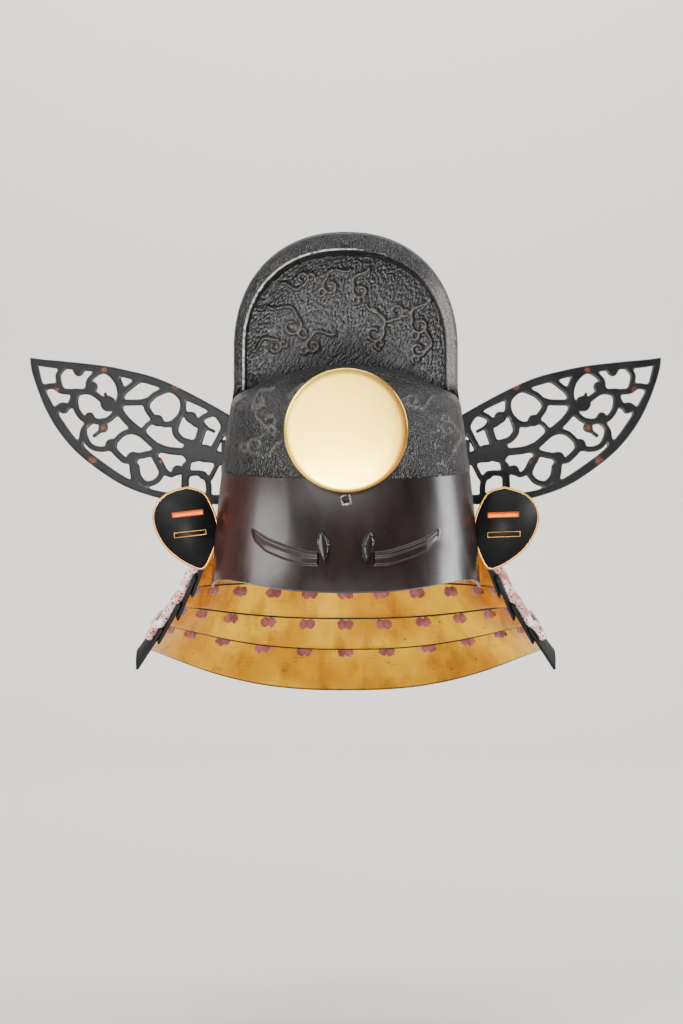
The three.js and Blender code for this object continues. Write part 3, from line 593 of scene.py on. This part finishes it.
def hoodPlace(u, v):
    line = hoodLine[int(round(u * (len(hoodLine) - 1)))]
    if v < rim["start"]:
        along = sin((1 - v / rim["start"]) * pi / 2)
        size = shrink(along)
        return (line[0] * size, along * bowl["back"], line[1] * size)
    roll = (v - rim["start"]) / (1 - rim["start"])
    width, inward = rimAt(line)
    above = clamp((line[1] - rim["foot"]) / rim["fade"], 0, 1)
    inset = float(np.interp(roll, rimStations, rimInsets)) * width * above
    x = line[0] + inward.x * inset
    z = line[1] + inward.y * inset
    y = lerp(bowl["band"], -rim["front"], float(np.interp(roll, rimStations, rimForwards)) * above)
    lump = rim["lump"] * noise.noise(Vector((x / rim["lumpSize"], z / rim["lumpSize"], 3))) * above
    return (x, y + lump, z)


# The rim's roll is painted pale on its right side: a painted highlight where light from the right catches the roll
def makeHood():
    bm = sheet(260, 130, hoodPlace)
    paintedSheen = bm.verts.layers.float.new("paintedSheen")
    for vert in bm.verts:
        x, y, z = (value / mm for value in vert.co)
        side = clamp((x - rimSheen["across"]) / rimSheen["fade"], 0, 1)
        side *= clamp((z - rimSheen["low"]) / rimSheen["lowFade"], 0, 1)
        side *= clamp((rimSheen["high"] - z) / rimSheen["fade"], 0, 1)
        vert[paintedSheen] = rimSheen["amount"] * side * exp(-((y + rim["front"]) / rimSheen["band"]) ** 2)
    shell = toObject(faceOutwards(bm, (0, 1, 0)), "hoodLeather", capLeather)
    smooth(shell, 80)
    dress(shell, "leather", "hood", "hood_rim")


makeHood()


# The rim's inner edge, rubbed grey and painted paler as a painted highlight: the cord is thick on the left and thins
# to the right
def makeCrestHighlight():
    path = []
    for column, (across, up) in enumerate(hoodLine):
        if up > rimSheen["low"]:
            width, inward = rimAt((across, up))
            inset = 0.9 * width + 0.3 * noise.noise(Vector((column / 4, 0, 0)))
            path.append((across + inward.x * inset, -rim["front"] - 0.3, up + inward.y * inset,
                         # Painted highlight: the cord thins from full on the left to a trace on the right
                         clamp((40 - across) / 60, 0.15, 1)))
    dress(cordAlong("crestHighlightCord", [path], 1.0, paleEdgeAndSheen, 3), "leather")


makeCrestHighlight()


# Sunk panel with its pressed scrolls
panelBox = dict(half=93.5, y=9.6, tuck=4, crown=3, crownHalf=95, top=0.985, scroll=2.0, grain=0.1)


def panelPlace(u, v):
    x = (u * 2 - 1) * panelBox["half"]
    share = clamp(abs(x) / panelBox["half"], 0, 0.9999)
    arch = (1 - share ** hood["power"]) ** (1 / hood["power"])
    high = (hood["spring"] + (hood["top"] - hood["spring"]) * arch) * panelBox["top"]
    low = capArch(min(abs(x), cap["archHalf"])) - panelBox["tuck"]
    z = lerp(low, high, v)
    y = panelBox["y"] - panelBox["crown"] * (1 - (x / panelBox["crownHalf"]) ** 2) * sin(v * pi)
    relief = panelBox["scroll"] * ridge(panelTree, x, z) + panelBox["grain"] * wrinkles(x, 0, z, 2.2, 0.75)
    return (x, y - relief, z)


def makePanel():
    bm = sheet(250, 170, panelPlace)
    paintReliefSheen(bm, panelTree, 0.35)
    panel = toObject(faceOutwards(bm, (0, -1, 0)), "panelLeather", panelLeather)
    thicken(smooth(panel, 80), 2.0)
    dress(panel, "leather", "hood_panel")


makePanel()
print("hood and panel made")

# Peak, hammered up into two brows that end in a lens-shaped leaf
brow = dict(away=[0.15, 0.235, 0.338, 0.45, 0.53, 0.565], crest=[0.665, 0.655, 0.618, 0.572, 0.515, 0.49],
            foot=[0.775, 0.775, 0.74, 0.692, 0.61, 0.53], swell=[1, 1, 1, 0.9, 0.6, 0])
browSection = ([-0.08, 0.06, 0.2, 0.42, 0.85, 1.02], [0, 1, 0.94, 0.58, 0.4, 0])
leafBox = dict(top=0.45, foot=0.75, across=0.124, lean=0.03, half=0.031, edge=0.008, crown=0.22)
# Columns and rows lie closer where the brows and leaves are
peakColumns = ([0, 0.05, 0.78, 1], [0, 0.07, 0.6, 1])
peakRows = ([0, 0.24, 0.84, 1], [0, 0.42, 0.8, 1])
peakEdge = ([0, 0.2, 0.35, 0.52, 0.66, 0.78, 0.87, 0.94, 1], [0, 0.006, 0.03, 0.07, 0.094, 0.092, 0.072, 0.044, 0.014])


# How far the cap reaches from its axis. Its side and its arch meet in a rounded corner.
def capReach(angle, z):
    z = clamp(z, 0, cap["cornerFoot"])
    across, along = sin(angle), cos(angle)
    limits = []
    for within in (lambda x, size: x < size * sideHalf(z / size),
                   lambda x, size: z < size * capArch(min(cap["archHalf"], x / size))):
        low, high = 0.0, 200.0
        for _ in range(18):
            reach = (low + high) / 2
            size = shrink(min(1, reach * along / bowl["front"]))
            low, high = (reach, high) if size > 0 and within(reach * across, size) else (low, reach)
        limits.append(low)
    return float(blendIn(*limits, cap["corner"]))


def ease(value):
    value = clamp(value, 0, 1)
    return value * value * (3 - 2 * value)


def peakLift(away, down):
    lift = 0
    if brow["away"][0] <= away <= brow["away"][-1]:
        crest, foot, swell = (float(np.interp(away, brow["away"], brow[key])) for key in ("crest", "foot", "swell"))
        lift = peak["brow"] * swell * float(np.interp((down - crest) / (foot - crest), *browSection))
    share = (down - leafBox["top"]) / (leafBox["foot"] - leafBox["top"])
    if 0 < share < 1:
        middle = leafBox["across"] + leafBox["lean"] * (0.5 - share)
        half = leafBox["half"] * (1 - (2 * share - 1) ** 2)
        near = 1 - abs(away - middle) / max(half, 0.0001)
        if near > 0:
            rise = ease(near * half / leafBox["edge"]) * lerp(1 - leafBox["crown"], 1, near)
            lift = max(lift, peak["leaf"] * rise)
    return lift


reachCache = {}


def peakPlace(u, v):
    side = u * 2 - 1
    away = float(np.interp(abs(side), *peakColumns))
    v = float(np.interp(v, *peakRows))
    angle = away * radians(peak["angle"])
    top = lerp(peak["topFront"], peak["topSide"], away ** 2)
    edge = peak["topFront"] - peak["drop"] * (1 - float(np.interp(away, *peakEdge)))
    z = lerp(top, edge, v)
    flare = lerp(peak["flareFront"], peak["flareSide"], away ** 1.5)
    key = (round(away, 5), round(z, 1))
    if key not in reachCache:
        reachCache[key] = capReach(angle, z)
    reach = reachCache[key] + peak["clear"] + flare * v ** peak["flarePower"] + peak["thick"]
    reach += peakLift(away, v)
    return (copysign(reach * sin(angle), side), -reach * cos(angle), z)


def cutSquareHole(piece):
    size = peak["hole"] * mm
    bm = bmesh.new()
    bmesh.ops.create_cube(bm, size=size)
    bmesh.ops.scale(bm, verts=bm.verts, vec=(1, 12, 1))
    bmesh.ops.translate(bm, verts=bm.verts, vec=(0, -0.125, peak["holeHeight"] * mm))
    cutter = toObject(bm, "holeCutter")
    cut = piece.modifiers.new("hole", "BOOLEAN")
    cut.object = cutter
    cut.solver = "EXACT"
    bpy.context.view_layer.update()
    depsgraph = bpy.context.evaluated_depsgraph_get()
    cutMesh = bpy.data.meshes.new_from_object(piece.evaluated_get(depsgraph))
    piece.modifiers.clear()
    piece.data = cutMesh
    bpy.data.objects.remove(cutter)


def makePeak():
    bm = sheet(300, 150, peakPlace)
    plate = toObject(faceOutwards(bm, (0, -1, 0)), "peakLacquer", brownUrushi)
    thicken(plate, peak["thick"])
    cutSquareHole(plate)
    smooth(plate, 50)
    dress(plate, "brown_lacquer", "peak")


# Round the socket hole the lacquer has frayed to short pale fibres
fray = dict(count=64, over=0.5, out=(0.1, 1.0), slant=0.7, long=(0.6, 1.9), lift=0.4, sag=0.35, radius=0.17)


def makeSocketFray():
    surface = peakPlace(0.5, 0.12)[1] - fray["lift"]
    half = peak["hole"] / 2
    fibres = []
    for _ in range(fray["count"]):
        along = random.uniform(-1, 1) * (half + fray["over"])
        out = half + random.uniform(*fray["out"])
        side = random.choice(((1, 0), (-1, 0), (0, 1), (0, -1), (0, -1)))
        x, z = (out * side[0], along) if side[0] else (along, out * side[1])
        heading = atan2(z, x) + pi / 2 + random.uniform(-fray["slant"], fray["slant"])
        long = random.uniform(*fray["long"])
        fibres.append([(x + cos(heading) * long * t, surface - fray["sag"] * t * (1 - t),
                        peak["holeHeight"] + z + sin(heading) * long * t) for t in (0, 0.5, 1)])
    dress(cordAlong("socketFray", fibres, fray["radius"], paleEdgeAndSheen, 1), "leather")


makePeak()
makeSocketFray()
print("peak made")


def makeDisc():
    bm = bmesh.new()
    face = [(out, 1 - 0.34 * out ** 2.2) for out in np.linspace(0, 0.95, 16)]
    profile = face + [(0.98, 0.6), (0.995, 0.48), (1, 0.32), (0.985, 0.14), (0.95, 0.03), (0.9, 0), (0, 0)]
    points = [bm.verts.new((out * disc["radius"] * mm, -(through * disc["thick"]) * mm, 0))
              for out, through in profile]
    edges = [bm.edges.new(pair) for pair in zip(points, points[1:])]
    bmesh.ops.spin(bm, geom=points + edges, cent=(0, 0, 0), axis=(0, 1, 0), angle=tau, steps=96, use_merge=True)
    bmesh.ops.remove_doubles(bm, verts=bm.verts, dist=0.00001)
    bmesh.ops.recalc_face_normals(bm, faces=bm.faces)
    bmesh.ops.translate(bm, verts=bm.verts, vec=(0, (disc["thick"] - disc["reach"]) * mm, disc["height"] * mm))
    piece = smooth(toObject(bm, "crestDisc", discGilt), 40)
    dress(piece, "gilt", "crest_disc")


makeDisc()
for node in ("disc_post", "wing_bracket_left", "wing_bracket_right"):
    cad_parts[node].data.materials.clear()
    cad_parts[node].data.materials.append(iron)

# Wings: a vine scroll charted on squares from the tip, across inwards and down. A vine row is the
# stem's width and its path; a bud and a worn spot are a place and a radius.
wingTop = [(0, 0), (16, 2.2), (36, 4), (75, 8.5), (100, 13.5), (127, 20.5), (155, 32.5), (188, 50), (217, 67)]
wingFoot = [(207, 147), (185, 148), (155, 146), (125, 140), (95, 129), (68, 112), (46, 94), (29, 74), (17, 54),
            (8.5, 34), (2, 14), (0, 0)]
windowTop = [(9, 9), (23, 11), (46, 13), (69, 15.5), (94, 20.5), (118, 27), (138, 33.5), (159, 44), (178, 53),
             (199, 65)]
windowFoot = [(199, 138), (165, 138), (130, 134), (106, 125), (80, 109), (52, 87), (32, 61), (23, 46), (14, 28),
              (9, 9)]
vineRows = [
    (13, [(203, 103), (184, 100), (166, 96)]),
    (8, [(166, 96), (142, 94), (128, 89), (114, 77), (98, 63), (91, 51), (93, 37), (90, 25), (82, 15)]),
    (6.5, [(96, 46), (118, 45), (128, 38), (142, 32)]),
    (6.5, [(146, 31), (155, 43), (155, 55), (148, 65), (138, 68), (128, 63), (120, 53), (119, 46)]),
    (5, [(115, 75), (120, 68), (128, 64)]),
    (7, [(150, 65), (148, 75), (154, 83), (164, 87), (168, 93)]),
    (6, [(158, 57), (169, 66), (178, 60), (190, 56)]),
    (9, [(169, 66), (175, 71), (172, 83), (168, 91)]),
    (3.5, [(175, 69), (187, 75)]),
    (7, [(190, 57), (197, 69), (194, 79), (184, 97)]),
    (6.5, [(13, 31), (24, 29), (33, 34), (50, 35), (62, 35), (74, 43), (84, 50), (90, 53)]),
    (6, [(31, 30), (29, 19), (33, 12)]),
    (6, [(60, 33), (60, 25), (65, 19), (74, 13)]),
    (3, [(80, 44), (77, 37)]),
    (7, [(24, 57), (32, 49), (40, 49), (45, 41), (48, 36)]),
    (6.5, [(46, 41), (48, 53), (55, 62), (62, 62), (70, 65), (80, 63), (88, 56)]),
    (6, [(61, 66), (56, 71), (54, 77), (51, 90)]),
    (6, [(55, 76), (60, 87), (68, 92), (78, 92), (83, 88)]),
    (4, [(66, 79), (75, 71), (74, 65)]),
    (6, [(86, 86), (94, 78), (102, 75), (112, 76)]),
    (7, [(83, 90), (90, 98), (98, 104), (105, 100), (114, 99), (126, 96), (132, 92)]),
    (7, [(105, 103), (105, 113), (108, 128)]),
    (6, [(109, 110), (111, 120), (118, 127), (128, 125), (134, 117), (131, 108), (128, 103), (127, 97)]),
    (6, [(132, 104), (138, 115), (145, 118), (150, 112), (156, 114), (162, 105), (163, 98)]),
    (8, [(159, 110), (158, 125), (158, 141)]),
    (6, [(162, 117), (174, 117), (180, 123), (182, 133), (180, 141)]),
    (5, [(193, 103), (188, 113), (184, 121)]),
    (6.5, [(96, 35), (110, 24), (117, 18)]),
]
budRows = [(166, 95, 11), (178, 97, 9), (130, 64, 6), (164, 61, 6), (50, 14, 5.5), (64, 30, 5.5), (80, 47, 8),
           (35, 52, 5), (61, 60, 4.8), (83, 88, 6), (75, 71, 5), (105, 101, 6), (150, 114, 5), (176, 119, 4)]
wearSpots = [(28, 33, 3), (76, 13, 3), (60, 70, 2.5), (75, 71, 3), (64, 104, 4), (148, 31, 3), (134, 105, 2)]
square = wing["length"] / wing["squares"]


def splineThrough(points, steps=8):
    smoothed = []
    count = len(points)
    for i in range(count - 1):
        a, b, c, d = (np.array(points[clamp(j, 0, count - 1)], float) for j in (i - 1, i, i + 1, i + 2))
        for t in np.linspace(0, 1, steps, endpoint=False):
            smoothed.append(0.5 * (2 * b + (c - a) * t + (2 * a - 5 * b + 4 * c - d) * t * t
                                   + (3 * b - a - 3 * c + d) * t ** 3))
    smoothed.append(np.array(points[-1], float))
    return smoothed


def segmentDistance(x, y, start, end):
    along = end - start
    t = np.clip(((x - start[0]) * along[0] + (y - start[1]) * along[1]) / max(along @ along, 1e-9), 0, 1)
    return np.hypot(x - start[0] - t * along[0], y - start[1] - t * along[1])


def loopDistance(x, y, loop):
    nearest = np.full(x.shape, 1e9)
    inside = np.zeros(x.shape, bool)
    for start, end in zip(loop, loop[1:]):
        nearest = np.minimum(nearest, segmentDistance(x, y, start, end))
        crosses = (start[1] > y) != (end[1] > y)
        rise = end[1] - start[1]
        at = start[0] + (y - start[1]) * (end[0] - start[0]) / (rise if abs(rise) > 1e-9 else 1e-9)
        inside ^= crosses & (x < at)
    return np.where(inside, -nearest, nearest)


def chart(points):
    return [np.array((x * square, -y * square)) for x, y in points]


edgeTop, edgeFoot = splineThrough(chart(wingTop)), splineThrough(chart(wingFoot))
edgeLoop = edgeTop + edgeFoot
holeTop, holeFoot = splineThrough(chart(windowTop)), splineThrough(chart(windowFoot))
windowLoop = holeTop + holeFoot + [holeTop[0]]


def wingDistance(x, y):
    vine = np.full(x.shape, 1e3)
    for wide, path in vineRows:
        path = splineThrough(chart(path), 5)
        stem = np.full(x.shape, 1e3)
        for a, b in zip(path, path[1:]):
            stem = np.minimum(stem, segmentDistance(x, y, a, b))
        vine = blendIn(vine, stem - wide * square / 2, wing["blend"])
    for bx, by, radius in budRows:
        vine = blendIn(vine, np.hypot(x - bx * square, y + by * square) - radius * square, wing["blend"] * 0.6)
    frameBand = -loopDistance(x, y, windowLoop)
    return np.maximum(loopDistance(x, y, edgeLoop), blendIn(vine, frameBand, wing["blend"]))


def wingSheet():
    wide, tall = wing["length"] + 4, 140
    bm = bmesh.new()
    bmesh.ops.create_grid(bm, x_segments=int(wide / wing["cell"]), y_segments=int(tall / wing["cell"]), size=0.5)
    for vert in bm.verts:
        vert.co = Vector(((vert.co.x + 0.5) * wide - 2, (vert.co.y - 0.5) * tall + 3, 0))
    bm.faces.ensure_lookup_table()
    centres = np.array([f.calc_center_median()[:2] for f in bm.faces])
    outside = wingDistance(centres[:, 0], centres[:, 1]) > 0
    bmesh.ops.delete(bm, geom=[f for f, out in zip(bm.faces, outside) if out], context="FACES")
    rimVerts = [v for v in bm.verts if v.is_boundary]
    for _ in range(4):
        co = np.array([v.co[:2] for v in rimVerts])
        here = wingDistance(co[:, 0], co[:, 1])
        dx = (wingDistance(co[:, 0] + 0.05, co[:, 1]) - here) / 0.05
        dy = (wingDistance(co[:, 0], co[:, 1] + 0.05) - here) / 0.05
        size = np.maximum(np.hypot(dx, dy), 0.3)
        for vert, step, gx, gy in zip(rimVerts, here, dx / size, dy / size):
            vert.co.x -= clamp(step, -0.7, 0.7) * gx
            vert.co.y -= clamp(step, -0.7, 0.7) * gy
    inner = [v for v in bm.verts if not v.is_boundary]
    bmesh.ops.smooth_vert(bm, verts=inner, factor=0.5, use_axis_x=True, use_axis_y=True)
    return bm


def makeWing(name, hand, source):
    bm = source.copy()
    edge = bm.verts.layers.float.new("edge")
    wear = bm.verts.layers.float.new("wear")
    bmesh.ops.solidify(bm, geom=bm.faces, thickness=1)
    co = np.array([v.co[:2] for v in bm.verts])
    near = -wingDistance(co[:, 0], co[:, 1])
    sweep = hand * radians(wing["sweep"])
    for vert, inside in zip(bm.verts, near):
        share = clamp(inside / wing["bevel"], 0, 1)
        front = 1 if abs(vert.co.z) < 0.5 else -1
        rise = wing["thick"] / 2 * lerp(wing["rim"], 1, sqrt(1 - (1 - share) ** 2))
        # edge is 1 at a cut edge; the lacquer paints these edges grey, as worn lacquer and as a painted highlight
        vert[edge] = clamp(1 - inside / 0.9, 0, 1)
        x, y = vert.co.x, vert.co.y
        vert[wear] = max(clamp(1.3 - hypot(x - sx * square, y + sy * square) / (r * square), 0, 1)
                         for sx, sy, r in wearSpots)
        across, back = turned(-x * hand, wing["thick"] / 2 - front * rise, sweep)
        vert.co = Vector((hand * wing["tip"] + across, wing["back"] + back, wing["height"] + y)) * mm
    bmesh.ops.recalc_face_normals(bm, faces=bm.faces)
    piece = smooth(toObject(bm, name, wingUrushi), 50)
    dress(piece, "black_lacquer", "wing_left" if hand < 0 else "wing_right")


wingPattern = wingSheet()
makeWing("wingLeft", -1, wingPattern)
makeWing("wingRight", 1, wingPattern)
wingPattern.free()
print("wings made")

# Turn-backs
turnRows = [(0.53, 1), (0.24, 0.93), (0.06, 0.8), (0, 0.63), (0.06, 0.44), (0.2, 0.26), (0.4, 0.12), (0.62, 0.02),
            (0.78, 0), (0.9, 0.16), (0.99, 0.38), (0.99, 0.56), (0.92, 0.74), (0.78, 0.93), (0.53, 1)]
stripes = [dict(x=-134.5, z=22.5, long=27, wide=5, tilt=6.5, filled=True),
           dict(x=-132.5, z=5.5, long=27, wide=4, tilt=6.5, filled=False),
           dict(x=134, z=21.5, long=27, wide=5, tilt=2, filled=True),
           dict(x=134.5, z=5, long=27.5, wide=4.2, tilt=2, filled=False)]


def turnLoop(hand, count=72):
    loop = evenly(splineThrough(turnRows, 10), count + 1)[:-1]
    x = (turn["inner"] + turn["wide"] * (1 - loop[:, 0])) * hand
    return list(zip(x, turn["foot"] + turn["tall"] * loop[:, 1]))


def makeTurnback(side, hand):
    bm = bmesh.new()
    loop = turnLoop(hand)
    bmesh.ops.create_circle(bm, cap_ends=True, segments=len(loop), radius=1)
    for vert, (x, z) in zip(bm.verts, loop):
        vert.co = Vector((x, -turn["reach"] - turn["thick"] / 2, z)) * mm
    bmesh.ops.inset_region(bm, faces=bm.faces, thickness=0.9 * mm, depth=0)
    inner = max(bm.faces, key=lambda f: f.calc_area())
    for _ in range(9):
        bmesh.ops.inset_region(bm, faces=[inner], thickness=2.4 * mm, depth=0)
        for vert in inner.verts:
            vert.co.y -= 0.04 * mm
    faceOutwards(bm, (0, -1, 0))
    plate = toObject(bm, f"turnback{side}", blackUrushi)
    thicken(smooth(plate, 40), turn["thick"])
    dress(plate, "black_lacquer", f"turnback_{side.lower()}")
    ring = [(x, -turn["reach"] - 0.6, z) for x, z in loop]
    bead = cordAlong(f"turnbackRim{side}", [ring], turn["rim"] / 2, rimGilt, 4, True)
    dress(bead, "gilt", f"turnback_rim_{side.lower()}")


def makeStripe(number, row):
    half, tall = row["long"] / 2, row["wide"] / 2
    tilt = radians(row["tilt"])
    corners = [(-half, -tall), (half, -tall), (half, tall), (-half, tall)]
    y = -turn["reach"] - turn["thick"] / 2 - 1.1

    def place(x, z, rise=0):
        across, up = turned(x, z, tilt)
        return (row["x"] + across, y - rise, row["z"] + up)

    path = [place(x, z) for x, z in corners]
    if not row["filled"]:
        return dress(cordAlong(f"stripeLine{number}", [path], 0.35, rimGilt, 2, True), "gilt")
    bm = bmesh.new()
    bmesh.ops.create_grid(bm, x_segments=24, y_segments=4, size=0.5)
    for vert in bm.verts:
        x, z = vert.co.x * row["long"], vert.co.y * row["wide"]
        rise = 0.3 * (1 - (abs(vert.co.y) * 2) ** 4) + 0.1 * noise.noise(Vector((x / 3, z / 3, number)))
        vert.co = Vector(place(x, z, rise)) * mm
    faceOutwards(bm, (0, -1, 0))
    stripe = toObject(bm, f"stripeBar{number}", stripeLacquer)
    thicken(smooth(stripe), 0.8)
    return dress(stripe, "gilt")


makeTurnback("Left", -1)
makeTurnback("Right", 1)
for number, row in enumerate(stripes):
    makeStripe(number, row)
print("turn-backs made")


# Neck guard
def ringPoint(share, grow, back, ahead, ends, side, rear):
    half, front, deep = bowl["half"] + grow, bowl["front"] + grow, bowl["back"] + back
    power = 2 / bowl["power"]
    endTurn = pi / 2 + asin(min(0.9, ahead / front) ** (bowl["power"] / 2))
    angle = share * endTurn
    x = half * copysign(abs(sin(angle)) ** power, angle)
    cosine = cos(angle)
    reach = deep if cosine > 0 else front
    y = reach * copysign(abs(cosine) ** power, cosine)
    z = lerp(side, rear, (y / deep) ** plates["rearPower"]) if y > 0 else lerp(side, ends, min(1, -y / ahead) ** 2)
    return Vector((x, y, z))


def plateEdges(number, share, out):
    row = plateRows[number]
    bottom = ringPoint(share, row["half"] + out, row["back"] + out, row["ahead"], -row["dropEnd"],
                       -row["dropSide"], -row["dropBack"])
    if number == 0:
        grow = plates["clear"] + plates["thick"] + out
        return ringPoint(share, grow, grow, plates["ahead"], plates["topFront"], plates["topFront"],
                         plates["topBack"]), bottom
    step = plates["thick"] + plates["clear"]
    aboveTop, aboveBottom = plateEdges(number - 1, share, step + out)
    return aboveTop.lerp(aboveBottom, 1 - plateRows[number - 1]["lap"]), bottom


def platePoint(number, share, down, out=0):
    top, bottom = plateEdges(number, share, out)
    return top.lerp(bottom, down)


def makePlate(number):
    bm = sheet(180, 14, lambda u, v: platePoint(number, u * 2 - 1, v))
    plate = toObject(faceOutwards(bm, (0, 1, -0.2)), f"plate{number + 1}", blackUrushi, goldUrushi)
    thicken(smooth(plate, 40), plates["thick"], 1)
    dress(plate, "gold_lacquer", f"lame_{number + 1}")


# A thin dark lacquered edge closes each plate below
def makePlateEdge(number):
    path = [tuple(platePoint(number, share, 1, -plates["thick"] / 2)) for share in np.linspace(-1, 1, 181)]
    bead = cordAlong(f"plateEdge{number + 1}", [path], 1.25, blackUrushi, 2)
    dress(bead, "gold_lacquer")


for number in range(len(plateRows)):
    makePlate(number)
    makePlateEdge(number)
print("plates made")


# Share of a plate's half length at a lacing column, the columns at even plan angles from the back
def laceShare(number):
    angle = radians(plates["angle"]) * (number / (plates["columns"] - 1) * 2 - 1)
    across, back = (copysign(abs(v) ** (bowl["power"] / 2), v) for v in (sin(angle), cos(angle)))
    first = plateRows[0]
    endTurn = pi / 2 + asin((first["ahead"] / (bowl["front"] + first["half"])) ** (bowl["power"] / 2))
    return atan2(across, back) / endTurn


laceStops = [(0, 0.2), (0, 0.56), (1, -0.05), (1, 0.56), (2, -0.05), (2, 0.56), (3, -0.05), (3, 0.3)]


def makeLace(number):
    share = laceShare(number)
    cords = []
    for offset in (-lace["apart"], lace["apart"]):
        path = []
        for plate, down in laceStops:
            here = platePoint(plate, share, down, plates["clear"] + lace["lift"])
            ahead = platePoint(plate, share + 0.01, down, plates["clear"] + lace["lift"])
            along = (ahead - here) * Vector((1, 1, 0))
            path.append(tuple(here + along.normalized() * offset))
        cords.append([tuple(p) for p in splineThrough(path, 10)])
    piece = cordAlong(f"lacing{number + 1}", cords, lace["radius"], pinkSilk, 2)
    dress(piece, "silk", f"lacing_{number + 1}")


for number in range(plates["columns"]):
    makeLace(number)


# Inside, each lacing pair shows as a two-lobed tuft of faded silk
def makeTufts(plate, down):
    bm = bmesh.new()
    for number in range(plates["columns"]):
        share = laceShare(number)
        here = platePoint(plate, share, down, -plates["thick"])
        ahead = platePoint(plate, share + 0.01, down, -plates["thick"])
        along = ((ahead - here) * Vector((1, 1, 0))).normalized()
        inward = Vector((-along.y, along.x, 0))
        if inward.dot(here) > 0:
            inward = -inward
        for lobe in (-1, 1):
            made = bmesh.ops.create_uvsphere(bm, u_segments=14, v_segments=9, radius=1)
            for vert in made["verts"]:
                tall = tuft["up"] if vert.co.z > 0 else tuft["down"]
                shape = Vector((vert.co.x * tuft["wide"], vert.co.y * tuft["deep"], vert.co.z * tall))
                shape *= 1 + tuft["rough"] * noise.noise(shape * 0.9 + Vector((number * 5, lobe * 3, plate * 7)))
                out = along * (shape.x + lobe * tuft["apart"]) + inward * shape.y
                vert.co = (here + out + Vector((0, 0, shape.z))) * mm
    bmesh.ops.recalc_face_normals(bm, faces=bm.faces)
    dress(smooth(toObject(bm, f"tufts{plate + 1}", roseSilk), 60), "silk")


for plate, down in ((1, 0.52), (2, 0.5), (3, 0.35)):
    makeTufts(plate, down)


# Edge braid: strands wound round the path of the plates' front ends
def makeBraid(side, hand):
    path = []
    for plate, down in laceStops:
        here = platePoint(plate, hand, down, plates["clear"] + braid["lift"])
        inner = platePoint(plate, hand * 0.97, down, plates["clear"] + braid["lift"])
        path.append(here + (inner - here).normalized() * braid["inward"])
    centre = evenly([tuple(p) for p in splineThrough([tuple(p) for p in path], 12)], 150)
    strands = []
    for strand in range(3):
        points = []
        for i, place in enumerate(centre):
            nxt = centre[min(i + 1, len(centre) - 1)]
            prev = centre[max(i - 1, 0)]
            along = Vector(nxt - prev).normalized()
            sidewise = along.cross(Vector((0, 1, 0))).normalized()
            up = along.cross(sidewise)
            angle = i * braid["turn"] + strand * tau / 3
            out = braid["radius"] * (1 + braid["swell"] * sin(i * braid["wave"] + strand))
            points.append(tuple(Vector(place) + (sidewise * cos(angle) + up * sin(angle)) * out))
        strands.append(points)
    piece = cordAlong(f"edgeBraid{side}", strands, braid["radius"], braidSilk, 3)
    dress(piece, "silk", f"edge_braid_{side.lower()}")


makeBraid("Left", -1)
makeBraid("Right", 1)
print("lacing made")


# Stage: a pale floor that bends up far behind the helmet
def makeStage():
    s = stageSize

    def place(u, v):
        x = (u - 0.5) * 2 * s["wide"]
        run = v * 3
        if run < 1:
            return (x, lerp(s["near"], s["wall"] - s["bend"], run), s["floor"])
        if run < 2:
            angle = (run - 1) * pi / 2
            return (x, s["wall"] - s["bend"] + s["bend"] * sin(angle),
                    s["floor"] + s["bend"] * (1 - cos(angle)))
        return (x, s["wall"], s["floor"] + s["bend"] + (run - 2) * 2500)

    material, tree = newMaterial("palePaper")
    finishMaterial(tree, Base_Color="#cfccc6", Roughness=0.9)
    backdrop = smooth(toObject(faceOutwards(sheet(8, 60, place), (0, -1, 1)), "backdrop", material))


def areaLight(name, place, target, size, power):
    lamp = bpy.data.lights.new(name, "AREA")
    lamp.shape = "RECTANGLE"
    lamp.size, lamp.size_y = size
    lamp.energy = power
    light = addObject(name, lamp)
    light.location = place
    light.rotation_euler = (Vector(target) - Vector(place)).to_track_quat("-Z", "Y").to_euler()


def makeLights():
    areaLight("keyLeft", (-2.0, -1.3, 1.3), (0, 0, 0.05), (1.8, 1.6), 85)
    areaLight("sideRight", (2.4, 0.15, 1.0), (0, 0, 0.05), (1.0, 1.6), 90)
    areaLight("top", (0, -0.2, 2.0), (0, 0, 0.1), (1.8, 1.4), 30)
    areaLight("front", (-0.35, -2.9, 0.25), (0, 0, 0.08), (1.5, 0.9), 28)
    areaLight("low", (0, -1.7, -0.28), (0, 0.1, -0.05), (0.6, 0.26), 30)
    areaLight("wallWash", (0, 1.7, 2.4), (0, 3.6, 0.2), (3.0, 1.0), 170)
    world = bpy.data.worlds.new("softRoom")
    world.use_nodes = True
    glow = world.node_tree.nodes["Background"].inputs
    glow["Color"].default_value = colour("#e8eaee")
    glow["Strength"].default_value = 0.22
    bpy.context.scene.world = world


def makeCamera():
    data = bpy.data.cameras.new("camera")
    data.sensor_fit = "VERTICAL"
    data.sensor_height = camera["sensor"]
    data.lens = camera["lens"]
    viewer = addObject("camera", data)
    viewer.location = Vector((camera["across"], -camera["distance"], camera["height"])) * mm
    viewer.rotation_euler = (pi / 2, 0, 0)
    bpy.context.scene.camera = viewer


makeStage()
makeLights()
makeCamera()
